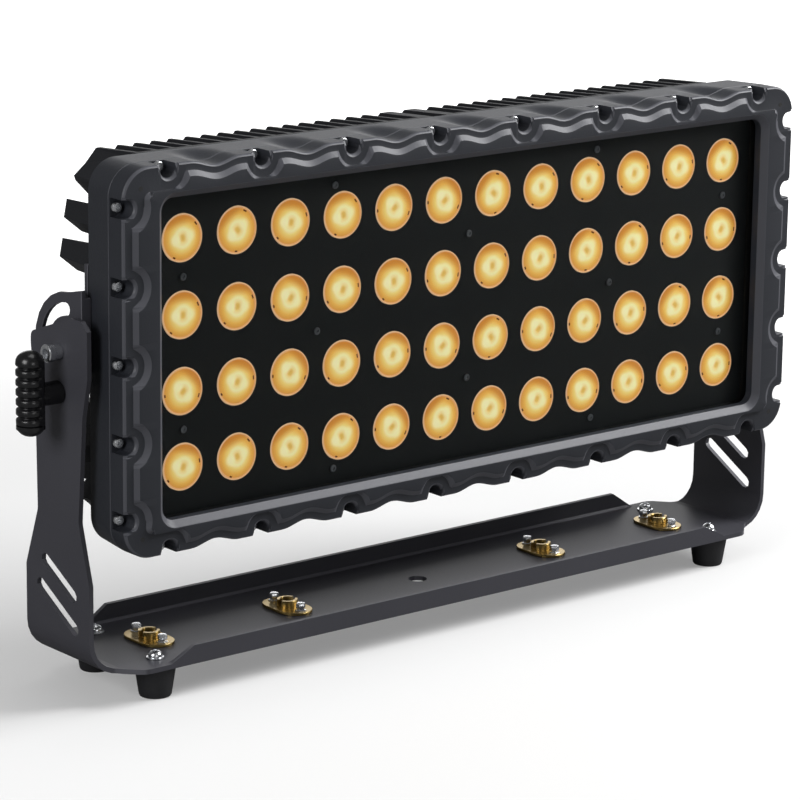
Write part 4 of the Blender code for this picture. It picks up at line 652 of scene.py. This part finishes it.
def makeLenses():
    # A rim, a shallow moat, a low dome and a dimple over the light source, as (share of radius, depth).
    bm = bmesh.new()
    foot = lens["domeFoot"]
    profile = [(1.0, 0.0022), (1.0, foot), (0.975, 0.0), (0.945, 0.0001), (0.93, 0.0005)]
    profile += [(share, foot - lens["dome"] * (1 - (share / lens["domeReach"]) ** 2))
                for share in (0.9, 0.8, 0.65, 0.5, 0.35, 0.22)]
    profile += [(0.16, -0.0002), (0.10, -0.0001), (0.001, 0.0)]
    solid(bm, [ring(bm, [(u, y, v) for u, v in circle((0, 0), share * lens["radius"], lens["sides"])])
               for share, y in profile])
    layer = bm.loops.layers.uv.new("UVMap")
    for face in bm.faces:
        for loop in face.loops:
            x, y, z = loop.vert.co
            loop[layer].uv = (0.5 + x / lens["radius"] / 2, 0.5 + z / lens["radius"] / 2)
    source = newPiece("lensSource", bm, None, acrylic)
    spots = [(x, lens["front"] + lens["sink"], z) for x, z in lensSpots()]
    piece = scatter("lensOptics", source, spots, (0.0, lens["turn"], 0.0), 5, "head", acrylic)
    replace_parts(piece, "lens_row_1", "lens_row_2", "lens_row_3", "lens_row_4")


# The head's screws

bezelScrew = {"radius": 0.0031, "socket": 0.0015, "low": -0.0445, "top": -0.0482, "inset": 0.0002}
plateScrew = {"radius": 0.0023, "socket": 0.0011, "low": -0.0446, "top": -0.0458, "outerX": 0.106,
              "outerZ": 0.088, "middleX": 0.1193, "sideX": 0.2186, "rowZ": 0.046}
cornerHole = {"insetX": 0.0125, "insetZ": 0.0123, "radius": 0.0015, "proud": 0.00006, "deep": 0.001}
anyTurn = (0.0, 3.0, 0.0)


def capScrew(name, size, sides=24):
    # A socket-cap screw along Y, from its low to its top, with a narrower shank and a six-sided recess.
    bm = bmesh.new()
    top = size["top"] - size["low"]
    edge = size["radius"]
    profile = [(edge * 0.72, 0.0), (edge * 0.72, top * 0.42), (edge, top * 0.46), (edge, top * 0.8)]
    profile += [(edge * 0.93, top * 0.96), (edge * 0.86, top), (size["socket"] * 1.25, top)]
    rings = [ring(bm, [(u, y, v) for u, v in circle((0, 0), r, sides)]) for r, y in profile]
    skin(bm, rings)
    mouth, floor = [ring(bm, [(u, y, v) for u, v in circle((0, 0), size["socket"], 6)])
                    for y in (top, top * 0.45)]
    fill(bm, rings[-1], mouth)
    strip(bm, mouth, floor)
    bm.faces.new(floor)
    bm.faces.new(rings[0])
    return newPiece(name, bm, None, zinc)


def makeHeadScrews():
    spots = []
    for s, short in screwPlaces:
        (x, z), (nx, nz) = headPoint(s)
        d = notches["centre"] + bezelScrew["inset"]
        spots.append((x + nx * d, bezelScrew["low"], head["centre"] + z + nz * d))
    source = capScrew("screwSource", bezelScrew)
    scatter("bezelScrews", source, spots, anyTurn, 3, "head", zinc)
    row = plateScrew["rowZ"]
    places = [(a * plateScrew["outerX"], b * plateScrew["outerZ"]) for a in (-1, 1) for b in (-1, 1)]
    places += [(-plateScrew["middleX"], 0), (plateScrew["middleX"], 0), (0, row), (0, -row)]
    places += [(a * plateScrew["sideX"], b * row) for a in (-1, 1) for b in (-1, 1)]
    spots = [(x, plateScrew["low"], head["centre"] + z) for x, z in places]
    source = capScrew("smallSource", plateScrew)
    scatter("plateScrews", source, spots, anyTurn, 4, "head", blackened)


def makeCornerHoleShade():
    # Dark discs of painted shade that read as the small blind holes near the corners.
    bm = bmesh.new()
    x = head["halfX"] - cornerHole["insetX"]
    z = head["halfZ"] - cornerHole["insetZ"]
    profile = [(cornerHole["radius"], bezel["land"] - cornerHole["proud"]),
               (cornerHole["radius"], bezel["land"] + cornerHole["deep"])]
    for a in (-1, 1):
        for b in (-1, 1):
            turned(bm, profile, "Y", (a * x, head["centre"] + b * z), 20)
    # The dark seal colour on these discs is painted shade for the holes' dark insides.
    newPiece("cornerPlugs", bm, "head", seal)


makeBezel()
makeHousing()
print("bezel and housing made")
makeFacePlate()
makeLenses()
makeHeadScrews()
makeCornerHoleShade()
print("face plate, lenses and screws made")


# Yoke hardware: T-handles, pivot bolts, feet and quick-lock receptacles

bar = {"arm": 0.279, "standoff": 0.0203, "y": -0.005, "z": 0.1898, "rise": 0.0018, "radius": 0.0086,
       "length": 0.0515, "cap": 0.8, "ribs": 7, "pitch": 0.0059, "groove": 0.0016, "drop": 0.0018,
       "step": 0.00042, "fadeFrom": 0.45, "fade": 3.0, "sides": 48}
shaft = {"radius": 0.007, "gap": 0.0003, "round": 0.0011, "end": 0.003, "sides": 40}
bolt = {"y": -0.005, "z": 0.214, "inner": 0.2652, "face": 0.2793, "shank": 0.004, "sleeve": 0.005,
        "sleeveLength": 0.0046, "head": 0.0055, "headLength": 0.0048, "socket": 0.003, "socketDeep": 0.0026}
foot = {"x": 0.230, "y": 0.0315, "top": 0.013, "bottom": 0.010, "height": 0.0199, "bore": 0.003}
footScrew = {"seat": 0.0235, "radius": 0.0043, "rise": 0.0048, "washer": 1.25, "recess": 0.0014}
lock = {"length": 0.038, "width": 0.022, "plate": 0.0015, "ring": 0.0068, "height": 0.006, "bore": 0.0045,
        "floor": 0.0024, "gap": 0.32, "seat": 0.0235, "pitch": 0.106, "places": (-2, -1, 1, 2)}
lockScrew = {"pitch": 0.0275, "base": 0.0037, "neck": 0.0026, "cap": 0.0031}


def gripBar(bm, side):
    # Round-ended bar. The side towards the arm stays smooth, the grooves run round the rest.
    half = bar["length"] / 2
    curve = bar["radius"] * bar["cap"]
    profile = [(bar["radius"] * math.sin(a), 0.0, -half + curve * (1 - math.cos(a)))
               for a in [math.pi / 2 * k / 6 for k in range(7)]]
    for k in range(bar["ribs"]):
        middle = (k - (bar["ribs"] - 1) / 2) * bar["pitch"] - bar["drop"]
        for step in range(-4, 5):
            dip = bar["groove"] * 0.5 * (1 + math.cos(math.pi * step / 4))
            profile.append((bar["radius"], dip, middle + step * bar["step"]))
    profile += [(r, 0.0, -z) for r, dip, z in profile[6::-1]]
    x = side * (bar["arm"] + bar["standoff"])
    rings = []
    for radius, dip, z in profile:
        points = []
        for u, v in circle((0, 0), 1.0, bar["sides"]):
            share = min(1.0, max(0.0, bar["fade"] * (side * u + bar["fadeFrom"])))
            reach = max(radius - dip * share, 1e-5)
            points.append((x + u * reach, bar["y"] + v * reach, bar["z"] + bar["rise"] + z))
        rings.append(ring(bm, points))
    solid(bm, rings)


def makeHandles():
    for label, side in (("left", -1), ("right", 1)):
        bm = bmesh.new()
        gripBar(bm, side)
        profile = [(shaft["radius"] * 0.92, bar["arm"] + shaft["gap"]),
                   (shaft["radius"], bar["arm"] + shaft["round"]),
                   (shaft["radius"] * 0.97, bar["arm"] + bar["standoff"] - shaft["end"])]
        turned(bm, profile, "X", (bar["y"], bar["z"]), shaft["sides"], side)
        piece = newPiece("gripBar_" + label, bm, "t_handle_" + label, nylon)
        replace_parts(piece, "t_handle_" + label)


def makeBolts():
    face = bolt["face"]
    sleeve = face + bolt["sleeveLength"]
    end = sleeve + bolt["headLength"]
    profile = [(bolt["shank"], bolt["inner"]), (bolt["shank"], face), (bolt["sleeve"], face),
               (bolt["sleeve"], sleeve - 0.0003), (bolt["head"] * 0.95, sleeve),
               (bolt["head"], sleeve + 0.0004), (bolt["head"], end - 0.0007), (bolt["head"] * 0.9, end),
               (bolt["socket"], end), (bolt["socket"] * 0.97, end - bolt["socketDeep"])]
    for label, side in (("left", -1), ("right", 1)):
        bm = bmesh.new()
        turned(bm, profile, "X", (bolt["y"], bolt["z"]), 32, side)
        piece = newPiece("pivotBolt_" + label, bm, "yoke", zinc)
        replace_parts(piece, "pivot_bolt_" + label)


def makeFeet():
    corners = ("left_front", "left_back", "right_front", "right_back")
    spots = [(a * foot["x"], b * foot["y"], 0.0) for a in (-1, 1) for b in (-1, 1)]
    bm = bmesh.new()
    low = foot["bottom"]
    high = foot["height"]
    turned(bm, [(low - 0.0016, 0.0), (low - 0.0005, 0.0003), (low, 0.0011),
                (foot["top"] - 0.0002, high - 0.0005), (foot["top"] - 0.0006, high), (foot["bore"], high)],
           "Z", (0, 0), 48)
    source = newPiece("footSource", bm, None, rubber)
    feet = scatter("rubberFeet", source, spots, (0.0, 0.0, 1.0), 1, "yoke", rubber)
    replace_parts(feet, *["foot_" + corner for corner in corners])
    bm = bmesh.new()
    radius = footScrew["radius"]
    rise = footScrew["rise"]
    washer = radius * footScrew["washer"]
    dome = [(radius * math.cos(a), rise * (0.3 + 0.7 * math.sin(a)))
            for a in [math.pi / 2 * k / 8 for k in range(7)]]
    turned(bm, [(washer, 0.0), (washer, rise * 0.12), (radius, rise * 0.16)] + dome
           + [(footScrew["recess"], rise * 0.99), (footScrew["recess"] - 0.0002, rise * 0.7)],
           "Z", (0, 0), 32)
    source = newPiece("domeSource", bm, None, zinc)
    spots = [(x, y, footScrew["seat"]) for x, y, z in spots]
    screws = scatter("footScrews", source, spots, (0.0, 0.0, 3.0), 2, "yoke", zinc)
    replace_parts(screws, *["foot_screw_" + corner for corner in corners])


def lockPlate(bm):
    # A round-ended plate with a hole for the collar.
    half = lock["width"] / 2
    straight = lock["length"] / 2 - half
    outline = []
    for side, start in ((1, 0.0), (-1, math.pi)):
        for k in range(13):
            a = math.pi * k / 12 + start
            outline.append((half * math.cos(a), side * straight + half * math.sin(a)))
    hole = circle((0, 0), lock["ring"], 32)
    levels = [(1.0, 0.0), (1.0, lock["plate"] * 0.8), (0.985, lock["plate"])]
    outer = [ring(bm, [(x * share, y * share, z) for x, y in outline]) for share, z in levels]
    inner = [ring(bm, [(x, y, z) for x, y in hole]) for z in (0.0, lock["plate"])]
    skin(bm, outer)
    fill(bm, outer[-1], inner[1])
    fill(bm, outer[0], inner[0])


def lockCollar(bm):
    # A bayonet collar in two halves with a gap at each side.
    top = lock["height"]
    corners = ((lock["bore"], 0.0), (lock["ring"], 0.0), (lock["ring"], top - 0.0005),
               (lock["ring"] - 0.0004, top), (lock["bore"] + 0.0003, top), (lock["bore"], top - 0.0004))
    for start in (lock["gap"], math.pi + lock["gap"]):
        steps = [start + (math.pi - 2 * lock["gap"]) * k / 16 for k in range(17)]
        solid(bm, [ring(bm, [(r * math.cos(a), r * math.sin(a), z) for r, z in corners]) for a in steps])


def lockFloor(bm):
    # The lower ledge inside the collar.
    corners = ((lock["ring"], 0.0), (lock["ring"], lock["floor"]), (lock["bore"], lock["floor"]),
               (lock["bore"], 0.0))
    skin(bm, [ring(bm, [(x, y, z) for x, y in circle((0, 0), r, 32)]) for r, z in corners])


def makeLocks():
    bm = bmesh.new()
    lockPlate(bm)
    lockCollar(bm)
    lockFloor(bm)
    source = newPiece("lockSource", bm, None, yellowPlate)
    spots = [(k * lock["pitch"], 0.0, lock["seat"]) for k in lock["places"]]
    locks = scatter("camLocks", source, spots, (0.0, 0.0, 0.03), 6, "yoke", yellowPlate)
    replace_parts(locks, *["cam_lock_%d" % k for k in (1, 2, 3, 4)])
    bm = bmesh.new()
    base, neck, cap = (lockScrew[key] for key in ("base", "neck", "cap"))
    profile = [(base, 0.0), (base, 0.0006), (neck, 0.0009), (neck, 0.0022), (cap, 0.0022), (cap, 0.0044),
               (cap - 0.0004, 0.005), (cap - 0.0013, 0.0052)]
    turned(bm, [(r, lock["plate"] + z) for r, z in profile], "Z", (0, 0), 6)
    source = newPiece("studSource", bm, None, zinc)
    spots = [(x, side * lockScrew["pitch"] / 2, z) for x, y, z in spots for side in (-1, 1)]
    scatter("lockScrews", source, spots, (0.0, 0.0, 3.0), 7, "yoke", zinc)


makeHandles()
makeBolts()
makeFeet()
makeLocks()
softened("yokeSheet", "yoke", 0.0005, coat, "yoke")
for label in ("left", "right"):
    softened("tiltPlate_" + label, "quadrant_" + label, 0.0004, coat, "head")
    softened("finBank_" + label, "heat_sink_" + label, 0.0004, fins, "head")
print("yoke hardware made")


# The back, and the nodes that keep their CAD shape

cover = {"out": 0.059, "halfX": 0.095, "halfZ": 0.055, "inset": 0.006}
coverScrew = {"radius": 0.0025, "socket": 0.0012, "low": 0.0, "top": 0.0009}
plain = {
    "front_glass": glass, "display_window": displayPane, "bezel_gasket": seal, "glass_seal": seal,
    "led_board": board, "control_board": board, "power_supply": zinc, "vent_plug": nylon,
    "safety_eye": zinc, "pivot_washer_left": nylon, "pivot_washer_right": nylon,
}


def makeCoverScrews():
    x = cover["halfX"] - cover["inset"]
    z = cover["halfZ"] - cover["inset"]
    spots = [(a * x, cover["out"], head["centre"] + b * z) for a in (-1, 1) for b in (-1, 1)]
    spots += [(0.0, cover["out"], head["centre"] + b * z) for b in (-1, 1)]
    source = capScrew("coverSource", coverScrew)
    scatter("coverScrews", source, spots, anyTurn, 8, "head", zinc)


def finishNodes():
    for label in ("left", "right"):
        for node in ("pivot_nut_", "clamp_nut_", "clamp_stud_"):
            plain[node + label] = zinc
    for label in ("power_in", "power_out", "data_in", "data_out"):
        plain["socket_" + label] = nylon
    for k in (1, 2, 3, 4):
        plain["button_%d" % k] = nylon
    for node, material in plain.items():
        nodes[node].data.materials.clear()
        nodes[node].data.materials.append(material)


makeCoverScrews()
softened("driverCase", "driver_box", 0.0008, cast, "head")
softened("driverLid", "driver_cover", 0.0005, cast, "head")
finishNodes()
print("back made")


# Stage, lamps and camera

stage = {"half": 9.0, "world": 0.18, "glowNear": 0.24, "glowFar": 1.05, "near": 0.40, "far": 1.5,
         "seenFloor": "#c4c4c4", "mirroredFloor": "#808080"}
lampAim = (0.0, 0.0, 0.15)
lamps = {
    "rightLamp": {"place": (1.75, -0.85, 1.55), "wide": 1.3, "tall": 1.3, "power": 85.0},
    "leftLamp": {"place": (-1.9, -0.35, 0.9), "wide": 0.9, "tall": 0.9, "power": 20.0},
    "frontLamp": {"place": (-0.55, -2.0, 0.45), "wide": 0.6, "tall": 0.6, "power": 3.5},
    "topLamp": {"place": (0.1, -0.2, 2.2), "wide": 1.0, "tall": 1.0, "power": 9.0},
    "backPanel": {"place": (2.0, 2.4, 0.75), "wide": 3.0, "tall": 0.9, "power": 16.0},
}
camera = {"place": (-1.4194, -1.7099, 0.6984), "azimuth": -39.366857, "elevation": 14.055555,
          "roll": 0.722547, "lens": 161.486, "sensor": 36.0, "far": 60.0}


def studioPaper():
    # Matt white paper that keeps a soft shadow and turns plain white to the camera further out.
    material, tree = newMaterial("studioPaper")
    path = addNode(tree, "ShaderNodeLightPath")
    tone = addNode(tree, "ShaderNodeMix", {"data_type": "RGBA", 6: linear(stage["mirroredFloor"]),
                                           7: linear(stage["seenFloor"])}, {0: (path, "Is Camera Ray")})
    matt = addNode(tree, "ShaderNodeBsdfDiffuse", {}, {"Color": (tone, 2)})
    spot = addNode(tree, "ShaderNodeTexCoord")
    away = addNode(tree, "ShaderNodeVectorMath", {"operation": "LENGTH"}, {0: (spot, "Object")})
    rise = addNode(tree, "ShaderNodeMapRange",
                   {"interpolation_type": "SMOOTHSTEP", 1: stage["near"], 2: stage["far"],
                    3: stage["glowNear"], 4: stage["glowFar"]}, {0: (away, "Value")})
    seen = addNode(tree, "ShaderNodeMath", {"operation": "MULTIPLY"}, {0: (path, "Is Camera Ray"), 1: rise})
    glow = addNode(tree, "ShaderNodeEmission", {"Color": (1, 1, 1, 1)}, {"Strength": seen})
    shader = addNode(tree, "ShaderNodeAddShader", {}, {0: matt, 1: glow})
    return finishMaterial(material, shader)


def makeStage():
    half = stage["half"]
    bm = bmesh.new()
    bm.faces.new(ring(bm, [(-half, -half, 0), (half, -half, 0), (half, half, 0), (-half, half, 0)]))
    newPiece("floor", bm, None, studioPaper())
    world = bpy.data.worlds.new("studio")
    bpy.context.scene.world = world
    world.use_nodes = True
    tree = world.node_tree
    tree.nodes.clear()
    path = addNode(tree, "ShaderNodeLightPath")
    bright = addNode(tree, "ShaderNodeMath",
                     {"operation": "MULTIPLY_ADD", 1: 1.0 - stage["world"], 2: stage["world"]},
                     {0: (path, "Is Camera Ray")})
    light = addNode(tree, "ShaderNodeBackground", {"Color": (1, 1, 1, 1)}, {"Strength": bright})
    addNode(tree, "ShaderNodeOutputWorld", {}, {"Surface": light})


def makeLamps():
    for name, lamp in lamps.items():
        data = bpy.data.lights.new(name, "AREA")
        data.shape = "RECTANGLE"
        data.size = lamp["wide"]
        data.size_y = lamp["tall"]
        data.energy = lamp["power"]
        shine = bpy.data.objects.new(name, data)
        shine.location = lamp["place"]
        aim = Vector(lampAim) - Vector(lamp["place"])
        shine.rotation_euler = aim.to_track_quat("-Z", "Y").to_euler()
        bpy.context.scene.collection.objects.link(shine)


def makeCamera():
    # The camera's axes from its azimuth, elevation and roll.
    a, e, roll = (math.radians(camera[key]) for key in ("azimuth", "elevation", "roll"))
    back = Vector((math.sin(a) * math.cos(e), -math.cos(a) * math.cos(e), math.sin(e)))
    level = Vector((math.cos(a), math.sin(a), 0.0))
    upright = back.cross(level)
    right = level * math.cos(roll) + upright * math.sin(roll)
    up = upright * math.cos(roll) - level * math.sin(roll)
    data = bpy.data.cameras.new("photoCamera")
    data.lens = camera["lens"]
    data.sensor_width = camera["sensor"]
    data.clip_end = camera["far"]
    eye = bpy.data.objects.new("photoCamera", data)
    eye.matrix_world = Matrix.Translation(camera["place"]) @ Matrix((right, up, back)).transposed().to_4x4()
    bpy.context.scene.collection.objects.link(eye)
    bpy.context.scene.camera = eye


makeStage()
makeLamps()
makeCamera()
bpy.context.scene.view_settings.view_transform = "Standard"
print("stage, lamps and camera made")
